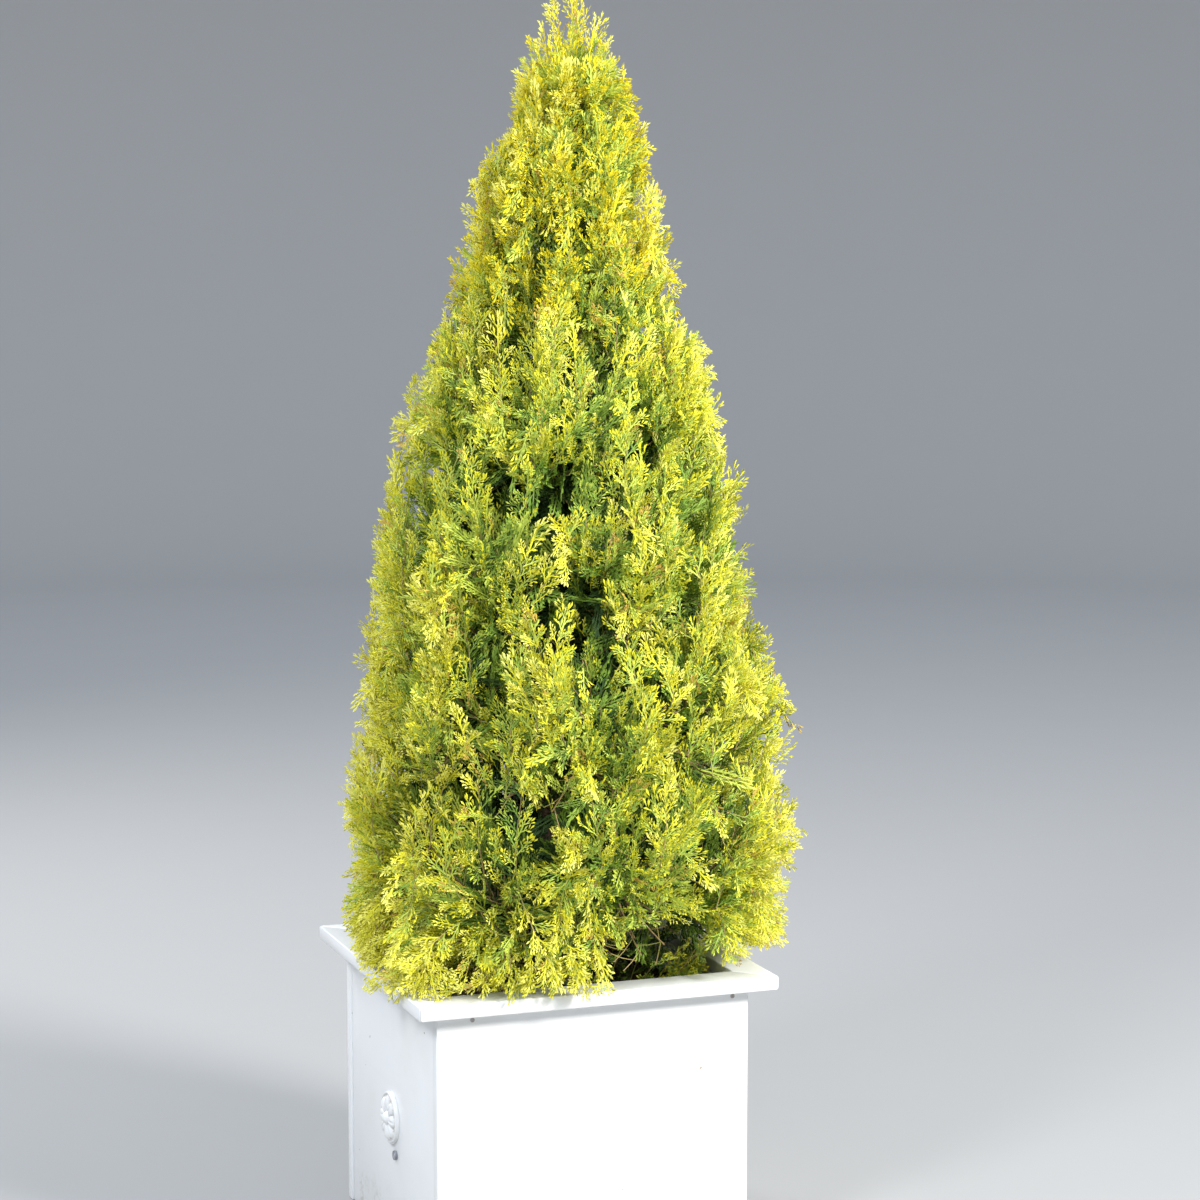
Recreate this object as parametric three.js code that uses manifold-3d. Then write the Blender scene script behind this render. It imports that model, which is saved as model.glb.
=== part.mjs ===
// A golden arborvitae growing in a square white planter box.
// Millimetres, +Z up. The origin is the middle of the box's flat underside, and the box's front faces -Y.

import * as THREE from "three";
import { mergeVertices } from "three/addons/utils/BufferGeometryUtils.js";
import Module from "manifold-3d";

const wasm = await Module();
wasm.setup();

// Clearance that separate pieces keep where they rest on or meet each other
const CLEAR = 0.3;

// Points closer than WELD are one when a solid is made, and closer than GRID when it is tested for gaps
const WELD = 1e-3;
const GRID = 1e-4;

// Planter box: four painted boards, a floor, and a mitred cap rail that overhangs them
const BOX_SIDE = 500;
const BOARD = 20;
const RIM_TOP = 450;
const RAIL_THICK = 22;
const RAIL_WIDTH = 56;
const RAIL_OVERHANG = 36;
const END_BOARD_INSET = 3;
const BOARD_HEIGHT = RIM_TOP - RAIL_THICK - CLEAR;

// Ornament on each end board, and the drain plug under the one on the left
const ROSETTE_RADIUS = 41;
const ROSETTE_HEIGHT = 203;
const ROSETTE_BACK = 6;
const ROSETTE_SIDES = 24;
const ROSETTE_PETALS = 8;
const PETAL_STEPS = 4;
const PETAL_REACH = [0.66, 0.92];
const PETAL_THICK = 6;
const BUTTON_RADIUS = 11;
const BUTTON_TOP_RADIUS = 7;
const BUTTON_RISE = 5;
const BUTTON_SIDES = 12;
const PLUG_RADIUS = 7.5;
const PLUG_FACE_RADIUS = 6.5;
const PLUG_THICK = 5;
const PLUG_PLACE = { y: -22, z: 148 };

// Soil that fills the box, heaped a little round the foot of the trunk
const SOIL_EDGE = 392;
const SOIL_CROWN = 402;
const SOIL_FLAT_RADIUS = 75;

// Trunk: one stem that leans a little to the right on its way up
const TRUNK_FOOT = new THREE.Vector2(24, -14);
const TRUNK_LEAN = new THREE.Vector2(20, -4);
const TRUNK_BASE = SOIL_CROWN + CLEAR;
const TRUNK_TOP = 1740;
const TRUNK_RADIUS = 22;
const TRUNK_TIP_RADIUS = 4;
const FLARE_RADIUS = 12;
const FLARE_HEIGHT = 45;
const TRUNK_RINGS = 12;
const TRUNK_SIDES = 8;

// Crown: its half width at named heights, the lowest foliage over the rim and inside it, and the tip
const SKIRT = RIM_TOP + 6;
const SKIRT_INSIDE = SOIL_CROWN + 18;
const MOUTH = BOX_SIDE / 2 + RAIL_OVERHANG - RAIL_WIDTH - 12;
const CROWN_TOP = 1972;
const CROWN_PROFILE = [
  [SKIRT, 318],
  [525, 350],
  [690, 357],
  [850, 335],
  [1000, 303],
  [1170, 283],
  [1310, 245],
  [1440, 196],
  [1530, 173],
  [1630, 146],
  [1730, 108],
  [1820, 72],
  [1900, 54],
  [CROWN_TOP, 24],
];

// The lower crown is fuller on the right: how far it lies off the trunk's line, at named heights
const CROWN_SHIFT = [
  [850, 22],
  [1000, 0],
];

// Tiers of foliage masses, from the skirt up. turn is the first mass's bearing from +X, in degrees. out is
// how far its middle lies between the trunk and the crown's surface. root is how far below the mass its bough
// or stem leaves the trunk.
const TIERS = [
  { name: "skirt", height: 592, count: 7, turn: -142, out: 0.66, root: 128, bough: true, seed: 11 },
  { name: "low", height: 850, count: 7, turn: -107, out: 0.66, root: 215, bough: true, seed: 23 },
  { name: "middle", height: 1095, count: 6, turn: -139, out: 0.62, root: 190, bough: false, seed: 37 },
  { name: "upper", height: 1315, count: 5, turn: -109, out: 0.6, root: 150, bough: false, seed: 41 },
  { name: "shoulder", height: 1510, count: 3, turn: -70, out: 0.52, root: 110, bough: false, seed: 59 },
  { name: "spire", height: 1675, count: 2, turn: -130, out: 0.48, root: 80, bough: false, seed: 67 },
];
const LEADER = { name: "leader", height: 1845, seed: 73 };

// Neighbouring masses of a tier lie at staggered heights, and their roots a little the other way
const MASS_STAGGER = 90;
const ROOT_STAGGER = -30;

// Boughs: where one ends between the trunk and its mass's middle, and how it sags and bows on the way
const BOUGH_RADIUS = 9;
const BOUGH_TIP_RADIUS = 5;
const BOUGH_RINGS = 4;
const BOUGH_SIDES = 6;
const BOUGH_REACH = 0.52;
const BOUGH_RISE = 0.66;
const BOUGH_BOW = { out: 16, up: -12 };
const BOUGH_ROOM = 1.5;

// Stems inside the masses, and the twigs that leave them
const STEM_RADIUS = 6.3;
const STEM_TIP_RADIUS = 2;
const STEM_RINGS = 3;
const STEM_SIDES = 4;
const STEM_LEAD = { out: 0.6, up: 0.3, along: 0.5 };
const TWIG_RADIUS = 2.6;
const TWIG_TIP_RADIUS = 1.6;
const TWIG_SIDES = 3;
const LIMB_MARGIN = 3;

// Foliage: room between two masses, and how much of its space the dense middle of a mass fills
const CELL_GAP = 3;
const HOLLOW_SHARE = 0.25;
const CORE_SHARE = 0.95;
const CORE_LEAST = 0.4;
const STEP = 4;

// Twigs of a mass: how many, how far along the stem they start, how wide they fan, and how much the spray at
// the end of one turns up
const TWIGS = 10;
const TWIG_START = [0.7, 1];
const LEADER_TWIG_START = [0.3, 0.8];
const FACES_OUT = 1.3;
const FAN = THREE.MathUtils.degToRad(82);
const TURN_UP = 0.75;

// A spray is a flat fan with teeth, thickest in the middle. Below its lengths, the values are shares of its
// length or turns in radians, and its half outline is a list of [along, across].
const SPRAY_LONG = 150;
const SPRAY_SHORT = 92;
const SPRAY_LEAST = 50;
const SPRAY_SPREAD = [0.85, 1.15];
const SPRAY_SHRINK = 0.9;
const SPRAY_SUNK = 0.9;
const SPRAY_STANDS_OUT = 0.5;
const SPRAY_TWIG_END = 0.2;
const SPRAY_TURN = 0.8;
const SPRAY_THICK = 0.07;
const SPRAY_MIDDLE = 0.45;
const SPRAY_CUP = 0.06;
const SPRAY_UNEVEN = 0.96;
const SPRAY_SIDE = [
  [0, 0.06],
  [0.4, 0.3],
  [0.5, 0.13],
  [0.78, 0.2],
];

const GOLDEN_SHARE = (Math.sqrt(5) - 1) / 2;
const GOLDEN_ANGLE = Math.PI * (3 - Math.sqrt(5));

const UP = new THREE.Vector3(0, 0, 1);
const RIGHT = new THREE.Vector3(1, 0, 0);

const white = new THREE.MeshStandardMaterial({ color: 0xf4f5f6, roughness: 0.5, metalness: 0 });
const earth = new THREE.MeshStandardMaterial({ color: 0x3a2c22, roughness: 0.95, metalness: 0 });
const bark = new THREE.MeshStandardMaterial({ color: 0x7a5a42, roughness: 0.9, metalness: 0 });
const rubber = new THREE.MeshStandardMaterial({ color: 0x23262e, roughness: 0.7, metalness: 0 });
const gold = new THREE.MeshStandardMaterial({ color: 0xb4bd2a, roughness: 0.75, metalness: 0 });
const lime = new THREE.MeshStandardMaterial({ color: 0x86a32c, roughness: 0.75, metalness: 0 });

const plant = new THREE.Group();

function addMesh(name, geometry, material) {
  const mesh = new THREE.Mesh(geometry, material);
  mesh.name = name;
  plant.add(mesh);
  return mesh;
}

// Solids: a closed geometry becomes a manifold to be joined or cut, and comes back as a geometry
function solidOf(geometry) {
  const bare = geometry.clone();
  bare.deleteAttribute("normal");
  bare.deleteAttribute("uv");
  const merged = mergeVertices(bare, WELD);
  return new wasm.Manifold(
    new wasm.Mesh({
      numProp: 3,
      vertProperties: merged.attributes.position.array,
      triVerts: new Uint32Array(merged.index.array),
    }),
  );
}

function facesGeometry(points, index) {
  const geometry = new THREE.BufferGeometry();
  const values = points.flatMap((point) => point.toArray());
  geometry.setAttribute("position", new THREE.Float32BufferAttribute(values, 3));
  geometry.setIndex(index);
  return geometry;
}

function geometryOf(solid) {
  const mesh = solid.getMesh();
  const geometry = new THREE.BufferGeometry();
  geometry.setAttribute("position", new THREE.BufferAttribute(mesh.vertProperties, 3));
  geometry.setIndex(new THREE.BufferAttribute(mesh.triVerts, 1));
  return geometry;
}

// Joining can seal a hollow, free a scrap or leave a sliver: only the largest body's outer surface is kept
function wholeBody(solid) {
  let whole = solid;
  let bodies = [];
  while (bodies.length !== 1) {
    bodies = solidOf(geometryOf(whole).toNonIndexed()).decompose();
    whole = bodies.sort((a, b) => b.volume() - a.volume())[0];
  }
  return geometryOf(whole);
}

// Whether each edge belongs to exactly two faces, once points closer than the grid are one
function isSealed(geometry) {
  const place = new THREE.Vector3();
  const pointAt = (k) => {
    place.fromBufferAttribute(geometry.attributes.position, geometry.index.getX(k));
    return place.divideScalar(GRID).round().toArray().join();
  };
  const uses = new Map();
  for (let k = 0; k < geometry.index.count; k += 3) {
    const corners = [pointAt(k), pointAt(k + 1), pointAt(k + 2)];
    if (new Set(corners).size < 3) continue;
    corners.forEach((from, c) => {
      const edge = [from, corners[(c + 1) % 3]].sort().join(" ");
      uses.set(edge, (uses.get(edge) ?? 0) + 1);
    });
  }
  return [...uses.values()].every((count) => count === 2);
}

// A seeded stream of numbers from 0 to 1, so that the plant grows the same way each time
function seeded(seed) {
  const [MULTIPLIER, INCREMENT, RANGE] = [1664525, 1013904223, 2 ** 32];
  let state = seed >>> 0;
  return () => {
    state = (Math.imul(state, MULTIPLIER) + INCREMENT) >>> 0;
    return state / RANGE;
  };
}

function within([least, most], share) {
  return least + (most - least) * share;
}

// Interpolates a list of [height, value] stations, and keeps the end values beyond it
function between(stations, height) {
  const next = stations.findIndex((station) => station[0] > height);
  if (next === 0) return stations[0][1];
  if (next < 0) return stations.at(-1)[1];
  const [from, to] = [stations[next - 1], stations[next]];
  return within([from[1], to[1]], (height - from[0]) / (to[0] - from[0]));
}

// The middle of the trunk, carried on above it, and its radius, at a height
function trunkShare(height) {
  return (height - TRUNK_BASE) / (TRUNK_TOP - TRUNK_BASE);
}

function trunkAxis(height) {
  const sway = trunkShare(height) ** 2;
  return new THREE.Vector3(TRUNK_FOOT.x + TRUNK_LEAN.x * sway, TRUNK_FOOT.y + TRUNK_LEAN.y * sway, height);
}

function trunkRadius(height) {
  const flare = FLARE_RADIUS * Math.exp(-(height - TRUNK_BASE) / FLARE_HEIGHT);
  return within([TRUNK_RADIUS, TRUNK_TIP_RADIUS], trunkShare(height)) + flare;
}

class TrunkCurve extends THREE.Curve {
  getPoint(share) {
    return trunkAxis(within([TRUNK_BASE, TRUNK_TOP], share));
  }
}

function crownAxis(height) {
  return trunkAxis(height).addScaledVector(RIGHT, between(CROWN_SHIFT, height));
}

// A closed limb along a curve, with flat ends square to it
function limbGeometry(path, radiusAt, rings, sides) {
  const frames = path.computeFrenetFrames(rings);
  const points = [];
  const index = [];
  for (let r = 0; r <= rings; r++) {
    const middle = path.getPointAt(r / rings);
    for (let s = 0; s < sides; s++) {
      const angle = (2 * Math.PI * s) / sides;
      const spoke = frames.normals[r].clone().multiplyScalar(Math.cos(angle));
      spoke.addScaledVector(frames.binormals[r], Math.sin(angle));
      points.push(middle.clone().addScaledVector(spoke, radiusAt(r / rings, middle)));
    }
  }
  for (let r = 0; r < rings; r++)
    for (let s = 0; s < sides; s++) {
      const a = r * sides + s;
      const b = r * sides + ((s + 1) % sides);
      index.push(a, b, b + sides, a, b + sides, a + sides);
    }
  const last = rings * sides;
  for (let s = 1; s < sides - 1; s++) {
    index.push(0, s + 1, s);
    index.push(last, last + s, last + s + 1);
  }
  return facesGeometry(points, index);
}

// The trunk, and the same trunk grown by a margin, which cuts its neighbours clear
function trunkGeometry(margin) {
  const radiusAt = (share, middle) => trunkRadius(middle.z) + margin;
  return limbGeometry(new TrunkCurve(), radiusAt, TRUNK_RINGS, TRUNK_SIDES);
}
const trunkRoom = solidOf(trunkGeometry(CLEAR));

function boughGeometry(bough, margin) {
  const radiusAt = (share) => within([BOUGH_RADIUS, BOUGH_TIP_RADIUS], share) + margin;
  return limbGeometry(bough, radiusAt, BOUGH_RINGS, BOUGH_SIDES);
}

// A bough leaves the trunk, bows a little and ends at its mass
function boughCurve(mass) {
  const { middle, out, root } = mass;
  const tip = trunkAxis(middle.z).lerp(middle, BOUGH_REACH);
  tip.z = within([root.z, middle.z], BOUGH_RISE);
  const elbow = root.clone().lerp(tip, 0.5).addScaledVector(out, BOUGH_BOW.out);
  elbow.z += BOUGH_BOW.up;
  return new THREE.QuadraticBezierCurve3(root, elbow, tip);
}

// The masses of a tier: each has a middle, the way it faces, and the point where its bough or stem starts
function massesOf(tier) {
  return Array.from({ length: tier.count }, (_, k) => {
    const bearing = THREE.MathUtils.degToRad(tier.turn + (360 * k) / tier.count);
    const out = new THREE.Vector3(Math.cos(bearing), Math.sin(bearing), 0);
    const stagger = ((k * GOLDEN_SHARE) % 1) - 0.5;
    const height = tier.height + MASS_STAGGER * stagger;
    const middle = crownAxis(height).addScaledVector(out, between(CROWN_PROFILE, height) * tier.out);
    const root = trunkAxis(height - tier.root + ROOT_STAGGER * stagger);
    const mass = { name: `${tier.name}_${k + 1}`, middle, out, root, tier, seed: tier.seed * 100 + k };
    if (tier.bough) mass.bough = boughCurve(mass);
    return mass;
  });
}

const leader = {
  name: LEADER.name,
  middle: trunkAxis(LEADER.height),
  out: new THREE.Vector3(),
  root: trunkAxis(TRUNK_TOP + CLEAR),
  tier: LEADER,
  seed: LEADER.seed * 100,
};
const masses = [...TIERS.flatMap(massesOf), leader];
const carried = masses.filter((mass) => mass.bough);

// Limbs as chains of balls, to keep sprays off them
const limbBalls = [];
for (let share = 0; share <= 1; share += 1 / 64) {
  const middle = new TrunkCurve().getPoint(share);
  limbBalls.push({ middle, radius: trunkRadius(middle.z) });
}
for (const { bough } of carried)
  for (let share = 0; share <= 1; share += 1 / 16) {
    const radius = within([BOUGH_RADIUS, BOUGH_TIP_RADIUS], share);
    limbBalls.push({ middle: bough.getPointAt(share), radius });
  }

function clearOfLimbs(point) {
  return limbBalls.every((ball) => point.distanceTo(ball.middle) > ball.radius + LIMB_MARGIN);
}

// A point is in a mass's space if it is inside the crown and nearer to this mass's middle than to any other
function inCrown(point) {
  const overMouth = Math.max(Math.abs(point.x), Math.abs(point.y)) < MOUTH;
  if (point.z < (overMouth ? SKIRT_INSIDE : SKIRT) || point.z > CROWN_TOP) return false;
  return point.distanceTo(crownAxis(point.z)) < between(CROWN_PROFILE, point.z);
}

function onOwnSide(point, mass) {
  const own = point.distanceToSquared(mass.middle);
  return masses.every((other) => {
    if (other === mass) return true;
    const apart = other.middle.distanceTo(mass.middle);
    return point.distanceToSquared(other.middle) - own > 2 * apart * CELL_GAP;
  });
}

function inSpace(point, mass) {
  return inCrown(point) && onOwnSide(point, mass);
}

// What bounds a dense middle: its neighbours, and the crown's surface and the room round the trunk
function besideNeighbours(point, mass) {
  return onOwnSide(point, mass) && point.distanceTo(mass.middle) < BOX_SIDE;
}

function roundTrunk(point, mass) {
  const hollow = mass === leader ? 0 : between(CROWN_PROFILE, point.z) * HOLLOW_SHARE;
  return inCrown(point) && point.distanceTo(crownAxis(point.z)) >= hollow;
}

// How far a straight line from a point stays where it is allowed
function reachOf(from, direction, mass, allowed) {
  const point = from.clone();
  let reach = 0;
  while (allowed(point.addScaledVector(direction, STEP), mass)) reach += STEP;
  return reach;
}

// The dense middle of a mass: a ball pulled out to the sides of its space, short of the crown's surface
function coreGeometry(mass) {
  const ball = new THREE.IcosahedronGeometry(1, 1);
  ball.deleteAttribute("normal");
  ball.deleteAttribute("uv");
  const core = mergeVertices(ball, GRID);
  const position = core.attributes.position;
  const standsOut = sprayLength(mass.middle.z) * SPRAY_STANDS_OUT;
  for (let k = 0; k < position.count; k++) {
    const direction = new THREE.Vector3().fromBufferAttribute(position, k).normalize();
    const toSide = reachOf(mass.middle, direction, mass, besideNeighbours);
    const toSkin = reachOf(mass.middle, direction, mass, roundTrunk);
    const reach = Math.min(toSide * CORE_SHARE, Math.max(toSkin - standsOut, toSkin * CORE_LEAST));
    const point = mass.middle.clone().addScaledVector(direction, reach);
    position.setXYZ(k, point.x, point.y, point.z);
  }
  return core;
}

// A spray's length shrinks towards the top of the crown
function sprayLength(height) {
  return within([SPRAY_LONG, SPRAY_SHORT], (height - SKIRT) / (CROWN_TOP - SKIRT));
}

// A spray's points in space: its outline, then the middle of its upper and its lower face
function sprayPoints(spray) {
  const place = ([along, across], up = 0) => {
    const point = spray.root.clone().addScaledVector(spray.along, along * spray.length);
    point.addScaledVector(spray.across, across * spray.length);
    return point.addScaledVector(spray.face, (up - Math.abs(across) * SPRAY_CUP) * spray.length);
  };
  const right = SPRAY_SIDE.map((side) => place(side));
  const left = SPRAY_SIDE.map(([along, across]) => place([along * SPRAY_UNEVEN, -across])).reverse();
  const middle = [SPRAY_MIDDLE, 0];
  return [...right, place([1, 0]), ...left, place(middle, SPRAY_THICK / 2), place(middle, -SPRAY_THICK / 2)];
}

// Its solid is two low cones over the outline, back to back
function sprayGeometry(spray) {
  const points = sprayPoints(spray);
  const count = points.length - 2;
  const index = [];
  for (let k = 0; k < count; k++) {
    const next = (k + 1) % count;
    index.push(next, k, count, k, next, count + 1);
  }
  return facesGeometry(points, index);
}

// A spray stands edge up, turned a little about its own length. It shrinks until it fits, or is skipped.
function grownSpray(root, along, length, turn, mass) {
  const face = new THREE.Vector3().crossVectors(along, UP).normalize().applyAxisAngle(along, turn);
  const across = new THREE.Vector3().crossVectors(face, along);
  for (let size = length; size >= SPRAY_LEAST; size *= SPRAY_SHRINK) {
    const spray = { root, along, across, face, length: size };
    if (sprayPoints(spray).every((point) => inSpace(point, mass) && clearOfLimbs(point))) return spray;
  }
  return null;
}

// The stem of a mass: from the trunk or the bough's tip, rising into the middle, or to the tip of the crown
function stemCurve(mass) {
  if (mass === leader) return new THREE.LineCurve3(mass.root, trunkAxis(CROWN_TOP - STEM_TIP_RADIUS));
  if (!mass.bough) {
    const lead = mass.root.clone().lerp(mass.middle, STEM_LEAD.out);
    lead.z = within([mass.root.z, mass.middle.z], STEM_LEAD.up);
    return new THREE.QuadraticBezierCurve3(mass.root, lead, mass.middle);
  }
  const along = mass.bough.getTangentAt(1);
  const start = mass.bough.getPointAt(1).addScaledVector(along, CLEAR);
  const lead = start.clone().addScaledVector(along, start.distanceTo(mass.middle) * STEM_LEAD.along);
  return new THREE.QuadraticBezierCurve3(start, lead, mass.middle);
}

function stemGeometry(mass) {
  const foot = mass === leader ? TRUNK_TIP_RADIUS : mass.bough ? BOUGH_TIP_RADIUS : STEM_RADIUS;
  const radiusAt = (share) => within([foot, STEM_TIP_RADIUS], share);
  return limbGeometry(stemCurve(mass), radiusAt, STEM_RINGS, STEM_SIDES);
}

// The ways that twigs spread: a spiral of directions round the way that the mass faces
function spreadOf(mass) {
  const faces = mass.out.clone().multiplyScalar(FACES_OUT).add(UP).normalize();
  const side = new THREE.Vector3().crossVectors(UP, mass === leader ? RIGHT : mass.out).normalize();
  const rise = new THREE.Vector3().crossVectors(faces, side);
  return Array.from({ length: TWIGS }, (_, k) => {
    const tilt = FAN * Math.sqrt((k + 0.5) / TWIGS);
    const turn = k * GOLDEN_ANGLE + mass.seed;
    const towards = faces.clone().multiplyScalar(Math.cos(tilt));
    towards.addScaledVector(side, Math.sin(tilt) * Math.cos(turn));
    return towards.addScaledVector(rise, Math.sin(tilt) * Math.sin(turn));
  });
}

// Twigs leave the stem along these ways, and each ends in a spray that reaches the side of the mass's space
function growth(mass) {
  const random = seeded(mass.seed);
  const stem = stemCurve(mass);
  const starts = mass === leader ? LEADER_TWIG_START : TWIG_START;
  const grown = [];
  for (const towards of spreadOf(mass)) {
    const foot = stem.getPointAt(within(starts, random()));
    const length = sprayLength(foot.z) * within(SPRAY_SPREAD, random());
    const turn = within([-SPRAY_TURN, SPRAY_TURN], random());
    const reach = reachOf(foot, towards, mass, inSpace);
    const run = Math.max(reach - length * SPRAY_SUNK, reach * SPRAY_TWIG_END);
    const end = foot.clone().addScaledVector(towards, run);
    const along = towards.clone().addScaledVector(UP, TURN_UP).normalize();
    const spray = reach < SPRAY_LEAST ? null : grownSpray(end, along, length, turn, mass);
    if (!spray) continue;
    const tip = end.clone().addScaledVector(along, spray.length * SPRAY_TWIG_END);
    grown.push({ spray, twig: [foot, tip] });
  }
  return grown;
}

function twigGeometry([from, to]) {
  const radiusAt = (share) => within([TWIG_RADIUS, TWIG_TIP_RADIUS], share);
  return limbGeometry(new THREE.LineCurve3(from, to), radiusAt, 1, TWIG_SIDES);
}

// Joins a mass's stem, core, twigs and sprays. If they don't close, it does without its last spray.
function massGeometry(mass) {
  const grown = growth(mass);
  let core = solidOf(coreGeometry(mass));
  for (const { bough } of carried) core = core.subtract(solidOf(boughGeometry(bough, BOUGH_ROOM)));
  const middle = core.add(solidOf(stemGeometry(mass)));
  for (;;) {
    let solid = middle;
    for (const { spray, twig } of grown) {
      solid = solid.add(solidOf(twigGeometry(twig)));
      solid = solid.add(solidOf(sprayGeometry(spray)));
    }
    const geometry = wholeBody(solid.subtract(trunkRoom));
    if (isSealed(geometry)) return geometry;
    grown.pop();
  }
}

// The planter box: the front and back boards cover the ends of the two between them
function addBoard(name, size, centre) {
  addMesh(name, new THREE.BoxGeometry(...size), white).position.set(...centre);
}

function addBox() {
  const mid = BOARD_HEIGHT / 2;
  const faceY = (BOX_SIDE - BOARD) / 2;
  const endX = faceY - END_BOARD_INSET;
  const inside = BOX_SIDE - 2 * (BOARD + CLEAR);
  addBoard("planter_board_front", [BOX_SIDE, BOARD, BOARD_HEIGHT], [0, -faceY, mid]);
  addBoard("planter_board_back", [BOX_SIDE, BOARD, BOARD_HEIGHT], [0, faceY, mid]);
  addBoard("planter_board_left", [BOARD, inside, BOARD_HEIGHT], [-endX, 0, mid]);
  addBoard("planter_board_right", [BOARD, inside, BOARD_HEIGHT], [endX, 0, mid]);
  addBoard("planter_floor", [inside - 2 * END_BOARD_INSET, inside, BOARD], [0, 0, BOARD / 2]);
}

// One mitred rail of the cap, turned into place four times
function addRails() {
  const outer = BOX_SIDE / 2 + RAIL_OVERHANG;
  const inner = outer - RAIL_WIDTH;
  const mitre = CLEAR / 2;
  const shape = new THREE.Shape([
    new THREE.Vector2(-outer + mitre, -outer),
    new THREE.Vector2(outer - mitre, -outer),
    new THREE.Vector2(inner - mitre, -inner),
    new THREE.Vector2(-inner + mitre, -inner),
  ]);
  const rail = new THREE.ExtrudeGeometry(shape, { depth: RAIL_THICK, bevelEnabled: false });
  ["front", "right", "back", "left"].forEach((name, k) => {
    const mesh = addMesh(`planter_rail_${name}`, rail, white);
    mesh.position.z = RIM_TOP - RAIL_THICK;
    mesh.rotation.z = (k * Math.PI) / 2;
  });
}

// A round flower of petals on a disc, with a button in the middle, facing +Z before it is turned
function rosetteGeometry() {
  const disc = new THREE.CylinderGeometry(ROSETTE_RADIUS, ROSETTE_RADIUS, ROSETTE_BACK, ROSETTE_SIDES);
  disc.rotateX(Math.PI / 2).translate(0, 0, ROSETTE_BACK / 2);
  const outline = Array.from({ length: ROSETTE_PETALS * PETAL_STEPS }, (_, k) => {
    const angle = (2 * Math.PI * k) / (ROSETTE_PETALS * PETAL_STEPS);
    const swell = Math.abs(Math.cos((ROSETTE_PETALS * angle) / 2));
    const radius = ROSETTE_RADIUS * within(PETAL_REACH, swell);
    return new THREE.Vector2(radius * Math.cos(angle), radius * Math.sin(angle));
  });
  const depth = ROSETTE_BACK / 2 + PETAL_THICK;
  const petals = new THREE.ExtrudeGeometry(new THREE.Shape(outline), { depth, bevelEnabled: false });
  petals.translate(0, 0, ROSETTE_BACK / 2);
  const rise = BUTTON_RISE + PETAL_THICK;
  const button = new THREE.CylinderGeometry(BUTTON_TOP_RADIUS, BUTTON_RADIUS, rise, BUTTON_SIDES);
  button.rotateX(Math.PI / 2).translate(0, 0, ROSETTE_BACK + rise / 2);
  return geometryOf(solidOf(disc).add(solidOf(petals)).add(solidOf(button)));
}

function addOrnaments() {
  const face = BOX_SIDE / 2 - END_BOARD_INSET + CLEAR;
  const rosette = rosetteGeometry();
  for (const [name, side] of [["left", -1], ["right", 1]]) {
    const mesh = addMesh(`rosette_${name}`, rosette, white);
    mesh.position.set(side * face, 0, ROSETTE_HEIGHT);
    mesh.rotation.y = (side * Math.PI) / 2;
  }
  const round = new THREE.CylinderGeometry(PLUG_RADIUS, PLUG_FACE_RADIUS, PLUG_THICK, BUTTON_SIDES);
  const plug = addMesh("drain_plug", round, rubber);
  plug.position.set(-face - PLUG_THICK / 2, PLUG_PLACE.y, PLUG_PLACE.z);
  plug.rotation.z = -Math.PI / 2;
}

// The soil: a block with a low heap on top, flat where the trunk stands
function addSoil() {
  const halfX = BOX_SIDE / 2 - END_BOARD_INSET - BOARD - CLEAR;
  const halfY = BOX_SIDE / 2 - BOARD - CLEAR;
  const ring = (x, y, z, middle = new THREE.Vector2()) => {
    const corners = [[-x, -y], [x, -y], [x, y], [-x, y]];
    return corners.map(([dx, dy]) => new THREE.Vector3(middle.x + dx, middle.y + dy, z));
  };
  const foot = ring(halfX, halfY, BOARD + CLEAR);
  const edge = ring(halfX, halfY, SOIL_EDGE);
  const heap = ring(SOIL_FLAT_RADIUS, SOIL_FLAT_RADIUS, SOIL_CROWN, TRUNK_FOOT);
  const index = [0, 2, 1, 0, 3, 2, 8, 9, 10, 8, 10, 11];
  for (const base of [0, 4])
    for (let k = 0; k < 4; k++) {
      const a = base + k;
      const b = base + ((k + 1) % 4);
      index.push(a, b, b + 4, a, b + 4, a + 4);
    }
  addMesh("soil", facesGeometry([...foot, ...edge, ...heap], index), earth);
}

addBox();
addRails();
addOrnaments();
addSoil();
addMesh("trunk", trunkGeometry(0), bark);
for (const { name, bough } of carried)
  addMesh(`bough_${name}`, geometryOf(solidOf(boughGeometry(bough, 0)).subtract(trunkRoom)), bark);
for (const mass of masses) {
  const foliage = mass.tier.count % 2 ? gold : lime;
  addMesh(`mass_${mass.name}`, massGeometry(mass), foliage);
}

export default plant;
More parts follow.
